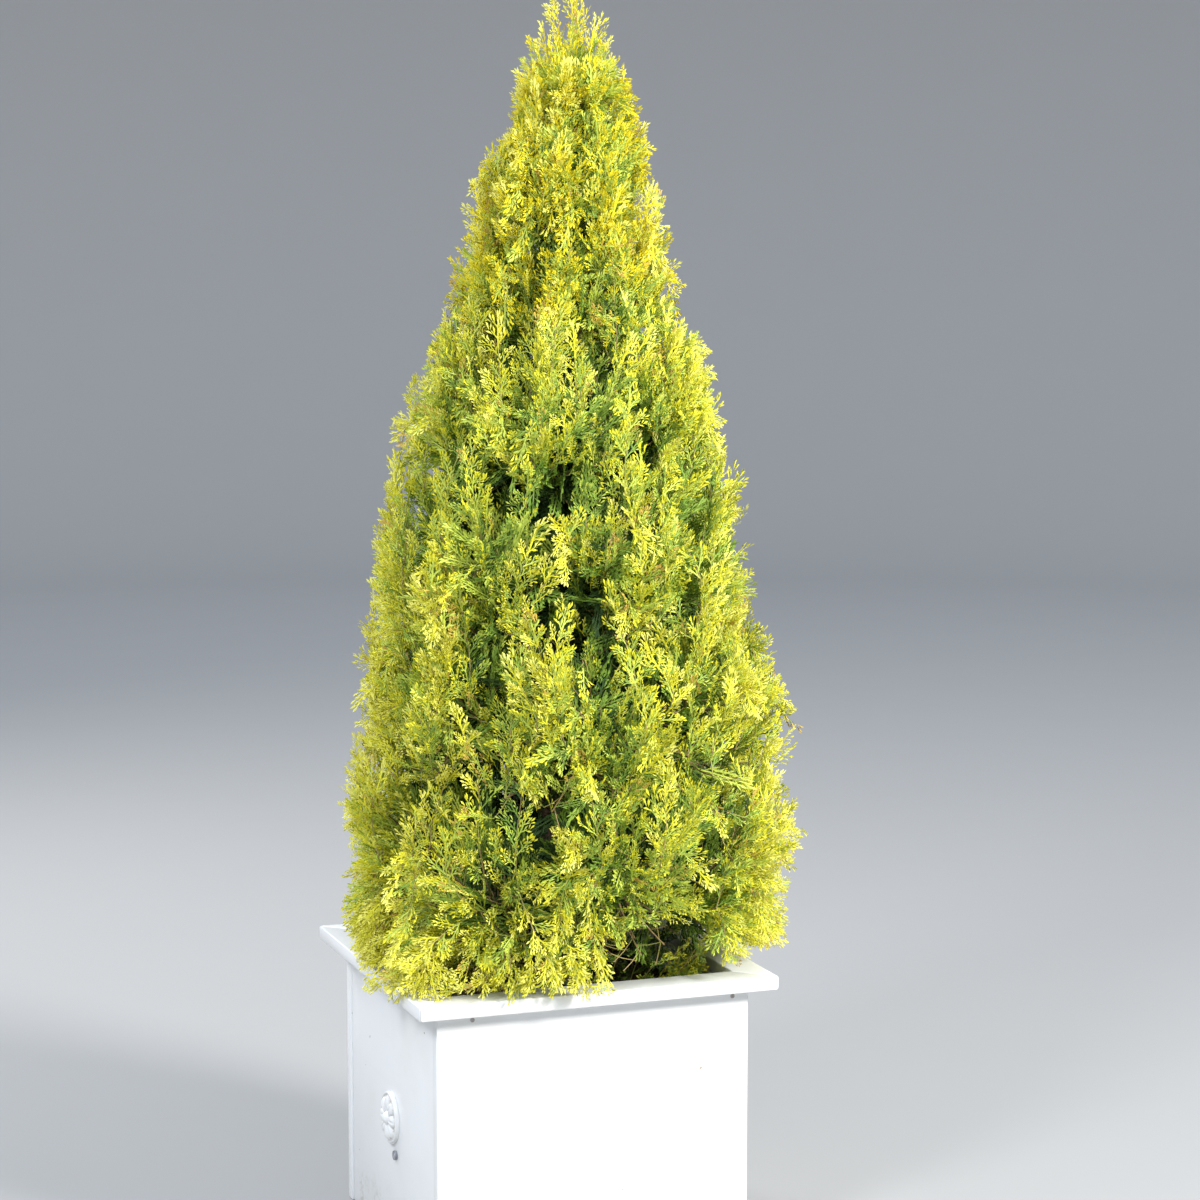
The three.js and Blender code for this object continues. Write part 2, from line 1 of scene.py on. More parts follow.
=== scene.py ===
import math
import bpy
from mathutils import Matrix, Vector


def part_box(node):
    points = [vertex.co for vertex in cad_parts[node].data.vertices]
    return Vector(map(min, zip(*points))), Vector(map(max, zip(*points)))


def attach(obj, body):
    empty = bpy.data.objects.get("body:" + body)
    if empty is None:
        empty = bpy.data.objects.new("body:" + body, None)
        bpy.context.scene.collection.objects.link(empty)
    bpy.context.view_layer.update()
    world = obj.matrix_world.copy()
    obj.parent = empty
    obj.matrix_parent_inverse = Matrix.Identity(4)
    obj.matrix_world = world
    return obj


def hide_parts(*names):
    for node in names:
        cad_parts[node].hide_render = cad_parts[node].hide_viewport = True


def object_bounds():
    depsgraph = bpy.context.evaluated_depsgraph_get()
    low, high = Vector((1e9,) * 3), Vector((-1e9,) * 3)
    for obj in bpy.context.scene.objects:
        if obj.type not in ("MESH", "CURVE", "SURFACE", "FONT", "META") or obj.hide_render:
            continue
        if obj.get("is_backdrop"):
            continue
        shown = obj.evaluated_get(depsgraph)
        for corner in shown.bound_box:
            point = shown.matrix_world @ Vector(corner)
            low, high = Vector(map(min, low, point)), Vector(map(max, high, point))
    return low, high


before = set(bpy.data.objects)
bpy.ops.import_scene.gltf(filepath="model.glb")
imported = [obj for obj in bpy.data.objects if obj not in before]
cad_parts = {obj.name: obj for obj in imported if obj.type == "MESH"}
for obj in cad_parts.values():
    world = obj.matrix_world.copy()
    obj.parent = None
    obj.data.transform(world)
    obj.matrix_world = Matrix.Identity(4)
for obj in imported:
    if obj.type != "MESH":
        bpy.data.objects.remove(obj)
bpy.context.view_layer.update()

from types import SimpleNamespace

import bmesh
import bpy
import numpy as np
from mathutils import Matrix, Vector, noise


# Planter boards
# Four boards of planed softwood and a floor, screwed together at the corners. The front and back boards cover
# the ends of the two between them. All are brushed with white gloss paint, and the grain shows faintly.
MM = 0.001
BOARD_ROUND = 1.6 * MM
ROUND_STEPS = 3
SAME_PLACE = 0.02 * MM
FLAT_WITHIN = math.radians(1)
CRISP_OVER = 40
GRAIN_ALONG_X = (0.03, 1, 1)
GRAIN_ALONG_Y = (1, 0.03, 1)
SPLASH_HEIGHT = 0.11
PAINT_DEPTH = 0.25 * MM
GLOSS = {"Coat_Weight": 0.25, "Coat_Roughness": 0.2}
WHITE = (0.86, 0.868, 0.865, 1)
WHITE_AGED = (0.80, 0.795, 0.765, 1)
SPLASHED = (0.36, 0.33, 0.26, 1)
BARE_WOOD = (0.34, 0.29, 0.22, 1)

scene = bpy.context.scene


class Value:
    """A socket of a node tree that takes part in sums as a number does."""

    def __init__(self, tree, socket):
        self.tree = tree
        self.socket = socket

    def maths(self, operation, first, second):
        return self.tree.node("ShaderNodeMath", {"operation": operation}, {0: first, 1: second})

    def __add__(self, other):
        return self.maths("ADD", self, other)

    def __sub__(self, other):
        return self.maths("SUBTRACT", self, other)

    def __mul__(self, other):
        return self.maths("MULTIPLY", self, other)

    __radd__ = __add__

    def rise(self, low, high):
        """0 below low, 1 above high, and smooth between them. A low above high turns it round."""
        settings = {"interpolation_type": "SMOOTHSTEP"}
        inputs = {"Value": self, "From Min": low, "From Max": high}
        return self.tree.node("ShaderNodeMapRange", settings, inputs)


class Tree:
    """A node tree that is written as expressions: node() adds any node and gives one of its outputs."""

    def __init__(self, tree):
        self.tree = tree

    def node(self, kind, settings=None, inputs=None, out=0):
        made = self.tree.nodes.new(kind)
        for name, value in (settings or {}).items():
            setattr(made, name, value)
        for key, value in (inputs or {}).items():
            self.feed(self.socket(made.inputs, key), value)
        return Value(self, self.socket(made.outputs, out))

    def socket(self, sockets, key):
        if isinstance(key, int):
            return sockets[key]
        return next(s for s in sockets if key in (s.identifier, s.name))

    def feed(self, socket, value):
        if isinstance(value, Value):
            self.tree.links.new(value.socket, socket)
        else:
            socket.default_value = value


class Finish(Tree):
    """A material: its patterns lie on Object coordinates, and feed one glossy or dull surface."""

    def __init__(self, name, **uniform):
        self.material = bpy.data.materials.new(name)
        self.material.use_nodes = True
        super().__init__(self.material.node_tree)
        self.surface = self.tree.nodes["Principled BSDF"]
        self.place = self.node("ShaderNodeTexCoord", out="Object")
        for label, value in uniform.items():
            self.surface.inputs[label.replace("_", " ")].default_value = value

    def noise(self, scale, detail, stretch=(1, 1, 1)):
        """Soft patches, from 0 to 1. A scale of 100 makes them about 10 mm across."""
        place = self.node("ShaderNodeMapping", {}, {"Vector": self.place, "Scale": stretch})
        inputs = {"Vector": place, "Scale": scale, "Detail": detail}
        return self.node("ShaderNodeTexNoise", {}, inputs)

    def mix(self, share, first, second):
        inputs = {"Factor_Float": share, "A_Color": first, "B_Color": second}
        return self.node("ShaderNodeMix", {"data_type": "RGBA"}, inputs, "Result_Color")

    def height(self):
        return self.node("ShaderNodeSeparateXYZ", {}, {0: self.place}, "Z")

    def wear(self, colour, roughness, relief, depth):
        """Gives the surface its colour, its roughness, and a relief of that depth in metres."""
        bump = self.node("ShaderNodeBump", {}, {"Height": relief, "Distance": depth}, "Normal")
        for label, value in (("Base Color", colour), ("Roughness", roughness), ("Normal", bump)):
            self.feed(self.surface.inputs[label], value)
        return self.material


def painted(name, stretch):
    """White gloss on wood whose grain runs where stretch is least: aged, chipped, and splashed low down."""
    finish = Finish(name, **GLOSS)
    brush = finish.noise(420, 3, stretch)
    grain = finish.noise(75, 5, stretch)
    cloud = finish.noise(7, 4)
    grit = finish.noise(140, 5)
    splash = finish.height().rise(SPLASH_HEIGHT, 0) * finish.noise(26, 5).rise(0.42, 0.66)
    chipped = finish.noise(55, 6).rise(0.735, 0.75)
    colour = finish.mix(cloud.rise(0.45, 0.75) * 0.55, WHITE, WHITE_AGED)
    colour = finish.mix(grain.rise(0.56, 0.7) * 0.12, colour, WHITE_AGED)
    colour = finish.mix(splash * grit.rise(0.4, 0.6) * 0.5, colour, SPLASHED)
    colour = finish.mix(chipped, colour, BARE_WOOD)
    relief = brush * 0.35 + grain * 0.5 + cloud * 0.4 - chipped * 0.8
    return finish.wear(colour, 0.26 + brush * 0.14 + splash * 0.3 + chipped * 0.3, relief, PAINT_DEPTH)


def dressed(node, rounded):
    """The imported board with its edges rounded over, ready for its paint."""
    shape = bmesh.new()
    shape.from_mesh(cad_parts[node].data)
    bmesh.ops.remove_doubles(shape, verts=shape.verts, dist=SAME_PLACE)
    bmesh.ops.dissolve_limit(shape, angle_limit=FLAT_WITHIN, verts=shape.verts, edges=shape.edges)
    bmesh.ops.bevel(
        shape, geom=shape.edges, offset=rounded, segments=ROUND_STEPS, profile=0.5, affect="EDGES"
    )
    mesh = bpy.data.meshes.new(node)
    shape.to_mesh(mesh)
    shape.free()
    return mesh


def placed(name, mesh, material, slot, *nodes, smooth=None):
    """Puts a finished mesh on the plant's one body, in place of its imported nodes."""
    if material:
        mesh.materials.clear()
        mesh.materials.append(material)
    if smooth is not None:
        mesh.shade_smooth()
        mesh.set_sharp_from_angle(angle=math.radians(smooth))
    piece = bpy.data.objects.new(name, mesh)
    scene.collection.objects.link(piece)
    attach(piece, "root")
    if nodes:
        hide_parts(*nodes)


def painted_board(name, node, rounded, paint):
    placed(name, dressed(node, rounded), paint, "white_paint", node, smooth=CRISP_OVER)


paint_x = painted("white_gloss_along_x", GRAIN_ALONG_X)
paint_y = painted("white_gloss_along_y", GRAIN_ALONG_Y)
paint_of = {"front": paint_x, "back": paint_x, "left": paint_y, "right": paint_y}
for side, paint in paint_of.items():
    painted_board(f"board_{side}", f"planter_board_{side}", BOARD_ROUND, paint)
painted_board("floor_board", "planter_floor", BOARD_ROUND, paint_x)


# Cap rails
# Four flat rails of the same painted wood, mitred at the corners and nailed down on the boards' top edges.
# They overhang the boards outside and the soil inside, and their edges are rounded more than the boards'.
RAIL_ROUND = 2.8 * MM

for side, paint in paint_of.items():
    painted_board(f"rail_{side}", f"planter_rail_{side}", RAIL_ROUND, paint)


# Screws
# Two countersunk steel screws under the front rail and two under the back one hold the boards to the ends.
# Their domed heads are bare steel, pale grey with a little rust, with a cross recess in the middle.
SCREW_RADIUS = 3.6 * MM
SCREW_PLACES = (-0.194, 0.224)
SCREW_DROP = 12 * MM
SCREW_SEED = 3
HEAD_SIDES = 16
HEAD_OUTLINE = ((1.0, 0.0), (0.98, 0.12), (0.8, 0.22), (0.45, 0.26), (0.22, 0.1))
HEAD_MIDDLE = 0.02
CROSS_RING = 3
CROSS_DEPTH = 0.14
HEAD_CRISP_OVER = 35
STEEL_PITS = 0.1 * MM
GREY_STEEL = (0.44, 0.43, 0.43, 1)
RUSTED = (0.34, 0.28, 0.24, 1)


class Works(Tree):
    """A Geometry Nodes tree. Its named inputs go to the modifier by identifier."""

    def __init__(self, name, **sizes):
        super().__init__(bpy.data.node_groups.new(name, "GeometryNodeTree"))
        kinds = {float: "NodeSocketFloat", int: "NodeSocketInt", bpy.types.Collection: "NodeSocketCollection"}
        interface = self.tree.interface
        interface.new_socket("Geometry", in_out="OUTPUT", socket_type="NodeSocketGeometry")
        interface.new_socket("Geometry", in_out="INPUT", socket_type="NodeSocketGeometry")
        self.values = {}
        for label, value in sizes.items():
            socket = interface.new_socket(label, in_out="INPUT", socket_type=kinds[type(value)])
            self.values[socket.identifier] = value
        self.given = self.tree.nodes.new("NodeGroupInput")

    def size(self, label):
        return Value(self, self.socket(self.given.outputs, label))

    def own(self, label, kind):
        return self.node("GeometryNodeInputNamedAttribute", {"data_type": kind}, {"Name": label}, "Attribute")

    def end(self, geometry, material):
        """Closes the tree: real faces, one material."""
        real = self.node("GeometryNodeRealizeInstances", {}, {"Geometry": geometry})
        worn = self.node("GeometryNodeSetMaterial", {}, {"Geometry": real, "Material": material})
        self.feed(self.tree.nodes.new("NodeGroupOutput").inputs[0], worn)

    def mesh(self, name, places):
        """Runs the tree on a mesh of places and gives the plain mesh that comes out."""
        maker = bpy.data.objects.new(name + "_maker", places)
        scene.collection.objects.link(maker)
        modifier = maker.modifiers.new("works", "NODES")
        modifier.node_group = self.tree
        for identifier, value in self.values.items():
            modifier[identifier] = value
        graph = bpy.context.evaluated_depsgraph_get()
        made = bpy.data.meshes.new_from_object(maker.evaluated_get(graph), depsgraph=graph)
        maker.modifiers.remove(modifier)
        bpy.data.objects.remove(maker)
        made.name = name
        return made


def points_mesh(name, points, **own):
    """Loose points that a tree puts shapes on, with values of their own."""
    mesh = bpy.data.meshes.new(name)
    mesh.vertices.add(len(points))
    mesh.vertices.foreach_set("co", np.asarray(points, np.float32).ravel())
    kinds = {"turn": ("QUATERNION", np.float32), "size": ("FLOAT", np.float32), "kind": ("INT", np.int32)}
    for label, values in own.items():
        kind, number = kinds[label]
        attribute = mesh.attributes.new(label, kind, "POINT")
        attribute.data.foreach_set("value", np.asarray(values, number).ravel())
    return mesh


def shape_mesh(name, points, faces):
    mesh = bpy.data.meshes.new(name)
    mesh.from_pydata([tuple(point) for point in points], [], [tuple(face) for face in faces])
    return mesh


def shelf(name, meshes):
    """A collection outside the scene that keeps shapes for a tree to repeat, in this order."""
    kept = bpy.data.collections.new(name)
    for number, mesh in enumerate(meshes):
        kept.objects.link(bpy.data.objects.new(f"{name}_{number:02d}", mesh))
    return kept


def repeated(name, material, shapes, points, turns, sizes, kinds, seed, uneven=0.0):
    """A joined mesh of a shelf's shapes, one at each point, turned and sized as told."""
    works = Works(name, Shapes=shapes, Seed=seed, Uneven=float(uneven))
    info = works.node(
        "GeometryNodeCollectionInfo",
        {"transform_space": "ORIGINAL"},
        {"Collection": works.size("Shapes"), "Separate Children": True, "Reset Children": True},
    )
    chance = works.node(
        "FunctionNodeRandomValue",
        {"data_type": "FLOAT"},
        {"Min_001": -1.0, "Max_001": 1.0, "Seed": works.size("Seed")},
        "Value_001",
    )
    instances = works.node(
        "GeometryNodeInstanceOnPoints",
        {},
        {
            "Points": works.size("Geometry"),
            "Instance": info,
            "Pick Instance": True,
            "Instance Index": works.own("kind", "INT"),
            "Rotation": works.own("turn", "QUATERNION"),
            "Scale": works.own("size", "FLOAT") * (chance * works.size("Uneven") + 1),
        },
    )
    works.end(instances, material)
    return works.mesh(name, points_mesh(name + "_points", points, turn=turns, size=sizes, kind=kinds))


def turn_of(along, across, face):
    """The turn that lays a shape's X, Y and Z along these three directions."""
    return tuple(Matrix((tuple(along), tuple(across), tuple(face))).transposed().to_quaternion())


def screw_shape():
    """A low dome with a cross recess, facing +Z. Its outline is in shares of the head's radius."""
    points = [(0, 0, HEAD_MIDDLE)]
    for ring, (radius, rise) in enumerate(HEAD_OUTLINE):
        for side in range(HEAD_SIDES):
            angle = 2 * math.pi * side / HEAD_SIDES
            cross = CROSS_DEPTH if ring == CROSS_RING and side % 4 == 0 else 0
            points.append((radius * math.cos(angle), radius * math.sin(angle), rise - cross))
    faces = []
    for ring in range(len(HEAD_OUTLINE) - 1):
        for side in range(HEAD_SIDES):
            a = 1 + ring * HEAD_SIDES + side
            b = 1 + ring * HEAD_SIDES + (side + 1) % HEAD_SIDES
            faces.append((a, b, b + HEAD_SIDES, a + HEAD_SIDES))
    last = 1 + (len(HEAD_OUTLINE) - 1) * HEAD_SIDES
    faces += [(last + side, last + (side + 1) % HEAD_SIDES, 0) for side in range(HEAD_SIDES)]
    faces.append([1 + side for side in reversed(range(HEAD_SIDES))])
    return shape_mesh("screw_head", points, faces)


def screw_finish():
    finish = Finish("grimed_steel", Metallic=0.2)
    speckle = finish.noise(900, 4)
    colour = finish.mix(speckle.rise(0.4, 0.6), GREY_STEEL, RUSTED)
    return finish.wear(colour, 0.45 + speckle * 0.3, speckle, STEEL_PITS)


front_low, front_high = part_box("planter_board_front")
back_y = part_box("planter_board_back")[1].y
screw_points = []
screw_turns = []
for face_y, away in ((front_low.y, -1), (back_y, 1)):
    for x in SCREW_PLACES:
        screw_points.append((x, face_y, front_high.z - SCREW_DROP))
        screw_turns.append(turn_of(Vector((1, 0, 0)), Vector((0, 0, -away)), Vector((0, away, 0))))
screws = repeated(
    "screws", screw_finish(), shelf("screw_shapes", [screw_shape()]), screw_points, screw_turns,
    [SCREW_RADIUS] * len(screw_points), [0] * len(screw_points), seed=SCREW_SEED,
)
placed("screws", screws, None, "white_paint", smooth=HEAD_CRISP_OVER)


# Rosettes
# A turned and carved wooden flower, 82 mm across, is glued to the middle of each end board and painted with
# it. Eight petals with a groove down each lie round a domed button, inside a thin bead.
ROSETTE_RADIUS = 41 * MM
ROSETTE_RINGS = 34
ROSETTE_SPOKES = 176
PLATE_MM = 5.4
PETALS = 8
PETAL_MM = 6.5
PETAL_FOOT = 0.22
PETAL_NOTCH = 0.62
PETAL_BEYOND_NOTCH = 0.28
PETAL_BLUNT = 0.7
PETAL_EDGE = 0.1
PETAL_CREST = 0.18
PETAL_SWELL = 0.6
PETAL_SIDES = 0.5
PETAL_GAP = 0.02
GROOVE_MM = 1.6
GROOVE_HALF = 0.03
BUTTON_MM = 11
BUTTON_SHARE = 0.25
BEAD_MM = 1.6
BEAD_PLACE = 0.94
BEAD_HALF = 0.05
RECESS_MM = 2.5
RECESS_WITHIN = 0.97
CARVING_CRISP_OVER = 50
CARVING_PAINT_DEPTH = 0.2 * MM
# The colour of the carving's hollows: grime, and painted shade where the carving is deepest.
RECESS_GRIME_AND_SHADE = (0.40, 0.36, 0.29, 1)


def half_round(across):
    """A round section, 1 high in its middle and 0 where across is 1 or more."""
    return np.sqrt(np.clip(1 - across**2, 0, 1))


def rosette_relief(share, angle):
    """How high the carving stands at a share of its radius, and how deep its hollows are, from 0 to 1."""
    petal = np.abs(np.cos(PETALS * angle / 2))
    reach = PETAL_NOTCH + PETAL_BEYOND_NOTCH * petal**PETAL_BLUNT
    inside = np.clip((reach - share) / PETAL_EDGE, 0, 1)
    swell = np.sin(np.pi * np.clip((share - PETAL_FOOT) / (reach - PETAL_CREST), 0, 1)) ** PETAL_SWELL
    groove = np.exp(-((petal - 1) / GROOVE_HALF) ** 2) * GROOVE_MM
    rounded = PETAL_SIDES + (1 - PETAL_SIDES) * petal**0.5
    body = (swell * rounded * PETAL_MM - groove * swell) * inside**0.5
    body = np.where(share > PETAL_FOOT + PETAL_GAP, body, 0)
    button = BUTTON_MM * half_round(share / BUTTON_SHARE)
    bead = BEAD_MM * half_round((share - BEAD_PLACE) / BEAD_HALF)
    carved = np.maximum(np.maximum(body, button), bead)
    return (PLATE_MM + carved) * MM, np.clip(1 - carved / RECESS_MM, 0, 1) * (share < RECESS_WITHIN)


def rosette_mesh(name, side, face_x, middle_z):
    """The relief as a closed disc that faces along X, to the left or the right."""
    share = np.repeat(np.arange(1, ROSETTE_RINGS + 1) / ROSETTE_RINGS, ROSETTE_SPOKES)
    angle = np.tile(2 * np.pi * np.arange(ROSETTE_SPOKES) / ROSETTE_SPOKES, ROSETTE_RINGS)
    height, recess = rosette_relief(share, angle)
    around = share * ROSETTE_RADIUS
    across, up = around * np.cos(angle), around * np.sin(angle)
    top = rosette_relief(np.zeros(1), np.zeros(1))[0]
    foot = slice(-ROSETTE_SPOKES, None)
    heights = np.concatenate([top, height, np.zeros(ROSETTE_SPOKES)])
    acrosses = np.concatenate([[0], across, across[foot]])
    ups = np.concatenate([[0], up, up[foot]])
    points = np.stack([face_x + side * heights, side * acrosses, middle_z + ups], axis=1)
    faces = []
    for spoke in range(ROSETTE_SPOKES):
        following = (spoke + 1) % ROSETTE_SPOKES
        faces.append((0, 1 + spoke, 1 + following))
        for ring in range(ROSETTE_RINGS):
            a = 1 + ring * ROSETTE_SPOKES
            b = a + ROSETTE_SPOKES
            faces.append((a + spoke, b + spoke, b + following, a + following))
    last = 1 + ROSETTE_RINGS * ROSETTE_SPOKES
    faces.append([last + spoke for spoke in reversed(range(ROSETTE_SPOKES))])
    mesh = shape_mesh(name, points, faces)
    hollows = np.concatenate([[0], recess, np.zeros(ROSETTE_SPOKES)])
    attribute = mesh.attributes.new("recess", "FLOAT", "POINT")
    attribute.data.foreach_set("value", hollows.astype(np.float32))
    return mesh


def rosette_finish():
    """The boards' paint, thicker on the carving, with grime and painted shade darkening its hollows."""
    finish = Finish("white_gloss_carved", **GLOSS)
    recess = finish.node("ShaderNodeAttribute", {"attribute_name": "recess"}, {}, "Fac")
    speckle = finish.noise(260, 4)
    # Painted shade and grime: the hollows are darkened in specks, the more the deeper they lie.
    grime_and_shade = recess * speckle.rise(0.3, 0.62)
    cloud = finish.noise(24, 3)
    colour = finish.mix(cloud * 0.4, WHITE, WHITE_AGED)
    colour = finish.mix(grime_and_shade * 0.75, colour, RECESS_GRIME_AND_SHADE)
    return finish.wear(colour, 0.28 + grime_and_shade * 0.4, speckle + cloud, CARVING_PAINT_DEPTH)


carved_paint = rosette_finish()
for side, away in (("left", -1), ("right", 1)):
    low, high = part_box(f"rosette_{side}")
    face_x = high.x if away < 0 else low.x
    name = f"rosette_{side}_carved"
    mesh = rosette_mesh(name, away, face_x, (low.z + high.z) / 2)
    placed(name, mesh, carved_paint, "white_paint", f"rosette_{side}", smooth=CARVING_CRISP_OVER)


# Drain plug
# A grey rubber plug, 15 mm across, closes the drain hole under the left rosette. It has a rounded lip and a
# small dimple where the mould was filled, and dust has paled it.
PLUG_OUTLINE_MM = (
    (0.2, 4.2), (2.2, 3.6), (3.0, 4.7), (6.1, 5.0),
    (7.0, 4.6), (7.5, 3.8), (7.5, 1.2), (7.2, 0.0),
)
PLUG_SIDES = 40
DUST_DEPTH = 0.15 * MM
GREY_RUBBER = (0.20, 0.21, 0.24, 1)
DUSTY_RUBBER = (0.40, 0.40, 0.42, 1)


def plug_mesh(foot):
    """The plug's outline turned round its axis, which runs out along -X from its foot."""
    points = []
    for side in range(PLUG_SIDES):
        angle = 2 * math.pi * side / PLUG_SIDES
        for radius, rise in PLUG_OUTLINE_MM:
            arm = Vector((-rise, radius * math.cos(angle), radius * math.sin(angle))) * MM
            points.append(foot + arm)
    rings = len(PLUG_OUTLINE_MM)
    faces = []
    for side in range(PLUG_SIDES):
        a = side * rings
        b = (side + 1) % PLUG_SIDES * rings
        faces += [(a + k, a + k + 1, b + k + 1, b + k) for k in range(rings - 1)]
    faces.append([side * rings for side in range(PLUG_SIDES)])
    faces.append([side * rings + rings - 1 for side in reversed(range(PLUG_SIDES))])
    mesh = shape_mesh("plug_turned", points, faces)
    shape = bmesh.new()
    shape.from_mesh(mesh)
    bmesh.ops.recalc_face_normals(shape, faces=shape.faces)
    shape.to_mesh(mesh)
    shape.free()
    return mesh


def rubber_finish():
    finish = Finish("dusty_rubber", Specular_IOR_Level=0.35)
    dust = finish.noise(180, 5)
    colour = finish.mix(dust.rise(0.4, 0.65), GREY_RUBBER, DUSTY_RUBBER)
    return finish.wear(colour, 0.5 + dust * 0.35, dust, DUST_DEPTH)


low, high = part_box("drain_plug")
plug_foot = Vector((high.x, (low.y + high.y) / 2, (low.z + high.z) / 2))
placed("plug", plug_mesh(plug_foot), rubber_finish(), "plug_rubber", "drain_plug", smooth=CRISP_OVER)


# Soil
# Dark potting soil fills the box to about 5 cm under its rim, and is heaped a little round the trunk.
# It is crumbly, and strewn with chips of composted bark and dry scale leaves that have fallen from the tree.
SOIL_CELLS = 150
SOIL_EDGE_DROP = 10 * MM
SOIL_HEAP_RADIUS = 0.16
SOIL_LUMP = 5 * MM
SOIL_LUMP_SHARE = 0.9
SOIL_LUMP_SUNK = 0.4
LUMPS_PER_METRE = 38
LUMP_NOISE = (0.9, 2.1, 5)
SOIL_CRISP_OVER = 60
SOIL_CRUMBS = 210
CRUMB_DEPTH = 1.2 * MM
SOIL_DARK = (0.055, 0.042, 0.032, 1)
SOIL_DRY = (0.21, 0.175, 0.135, 1)
TRUNK_FOOT = np.array([24, -14]) * MM
CHIPS = 2600
CHIP_SEED = 5
CHIP_SIZE_SEED = 8
CHIP_SHAPES = 4
CHIP_CORNERS = 6
CHIP_STRAY = 0.3
CHIP_REACH = (0.7, 1.1)
CHIP_NARROW = 0.5
CHIP_RIDGE = (0.1, 0.0, 0.22)
CHIP_UNDERSIDE = (0.0, 0.05, -0.12)
CHIP_GRAIN = 160
CHIP_HALF_MM = (3.5, 11)
CHIP_UNEVEN = 0.2
CHIP_TILT = 0.35
CHIP_LIFT = 1.5 * MM
CHIPS_OFF_BOARDS = 8 * MM
CHIPS_OFF_TRUNK = 40 * MM
CHIP_TONES = ((0.11, 0.062, 0.034, 1), (0.22, 0.14, 0.082, 1))
soil_low, soil_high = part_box("soil")


def off_trunk(x, y):
    return math.hypot(x - TRUNK_FOOT[0], y - TRUNK_FOOT[1])


def soil_height(x, y):
    """The soil's surface: level at the boards, heaped at the trunk, lumpy all over."""
    heap = math.exp(-((off_trunk(x, y) / SOIL_HEAP_RADIUS) ** 2))
    edge = soil_high.z - SOIL_EDGE_DROP
    lumps = noise.fractal(Vector((x, y, 0)) * LUMPS_PER_METRE, *LUMP_NOISE)
    return edge + (soil_high.z - edge) * heap + SOIL_LUMP * (lumps * SOIL_LUMP_SHARE - SOIL_LUMP_SUNK)


def soil_mesh():
    """A fine lumpy top over a plain block that reaches down to the floor."""
    steps = np.linspace(0, 1, SOIL_CELLS + 1)
    xs = soil_low.x + (soil_high.x - soil_low.x) * steps
    ys = soil_low.y + (soil_high.y - soil_low.y) * steps
    points = [(x, y, min(soil_height(x, y), soil_high.z)) for y in ys for x in xs]
    row = SOIL_CELLS + 1
    faces = []
    for j in range(SOIL_CELLS):
        for i in range(SOIL_CELLS):
            a = j * row + i
            faces.append((a, a + 1, a + row + 1, a + row))
    rim = list(range(SOIL_CELLS))
    rim += [j * row + SOIL_CELLS for j in range(SOIL_CELLS)]
    rim += [SOIL_CELLS * row + i for i in range(SOIL_CELLS, 0, -1)]
    rim += [j * row for j in range(SOIL_CELLS, 0, -1)]
    foot = len(points)
    points += [(points[k][0], points[k][1], soil_low.z) for k in rim]
    for k in range(len(rim)):
        following = (k + 1) % len(rim)
        faces.append((rim[following], rim[k], foot + k, foot + following))
    faces.append([foot + k for k in reversed(range(len(rim)))])
    return shape_mesh("soil_bed", points, faces)


def earth_finish(name, dark, light, scale):
    finish = Finish(name, Specular_IOR_Level=0.25)
    crumbs = finish.noise(scale, 6)
    clods = finish.noise(scale / 5, 4)
    colour = finish.mix(crumbs.rise(0.38, 0.68), dark, light)
    colour = finish.mix(clods.rise(0.5, 0.75) * 0.4, colour, dark)
    return finish.wear(colour, 0.86 + crumbs * 0.12, crumbs + clods, CRUMB_DEPTH)


def chip_shape(seed):
    """A torn flake: an uneven hexagon with a ridge, thin at its edge."""
    random = np.random.default_rng(seed)
    corners = range(CHIP_CORNERS)
    stray = random.uniform(-CHIP_STRAY, CHIP_STRAY, CHIP_CORNERS)
    angles = np.arange(CHIP_CORNERS) * math.tau / CHIP_CORNERS + stray
    reach = random.uniform(*CHIP_REACH, CHIP_CORNERS)
    rim = [(math.cos(a) * r, CHIP_NARROW * math.sin(a) * r, 0) for a, r in zip(angles, reach)]
    faces = [(k, (k + 1) % CHIP_CORNERS, CHIP_CORNERS) for k in corners]
    faces += [((k + 1) % CHIP_CORNERS, k, CHIP_CORNERS + 1) for k in corners]
    return shape_mesh(f"chip_{seed}", rim + [CHIP_RIDGE, CHIP_UNDERSIDE], faces)


def strewn(random):
    """Places on the soil, clear of the boards and the trunk, and a nearly flat lie for the chip at each."""
    points = []
    turns = []
    while len(points) < CHIPS:
        x = random.uniform(soil_low.x + CHIPS_OFF_BOARDS, soil_high.x - CHIPS_OFF_BOARDS)
        y = random.uniform(soil_low.y + CHIPS_OFF_BOARDS, soil_high.y - CHIPS_OFF_BOARDS)
        if off_trunk(x, y) < CHIPS_OFF_TRUNK:
            continue
        points.append((x, y, soil_height(x, y) + CHIP_LIFT))
        face = Vector((random.normal(0, CHIP_TILT), random.normal(0, CHIP_TILT), 1)).normalized()
        bearing = random.uniform(0, 2 * math.pi)
        across = face.cross(Vector((math.cos(bearing), math.sin(bearing), 0))).normalized()
        turns.append(turn_of(across.cross(face), across, face))
    return points, turns


potting_soil = earth_finish("potting_soil", SOIL_DARK, SOIL_DRY, SOIL_CRUMBS)
placed("soil_bed", soil_mesh(), potting_soil, "potting_soil", "soil", smooth=SOIL_CRISP_OVER)
random = np.random.default_rng(CHIP_SEED)
chip_points, chip_turns = strewn(random)
chip_sizes = random.uniform(*CHIP_HALF_MM, CHIPS) * MM
chips = repeated(
    "bark_chips", earth_finish("chipped_bark", *CHIP_TONES, CHIP_GRAIN),
    shelf("chip_shapes", [chip_shape(k) for k in range(CHIP_SHAPES)]),
    chip_points, chip_turns, chip_sizes, random.integers(0, CHIP_SHAPES, CHIPS),
    seed=CHIP_SIZE_SEED, uneven=CHIP_UNEVEN,
)
placed("bark_chips", chips, None, "potting_soil")


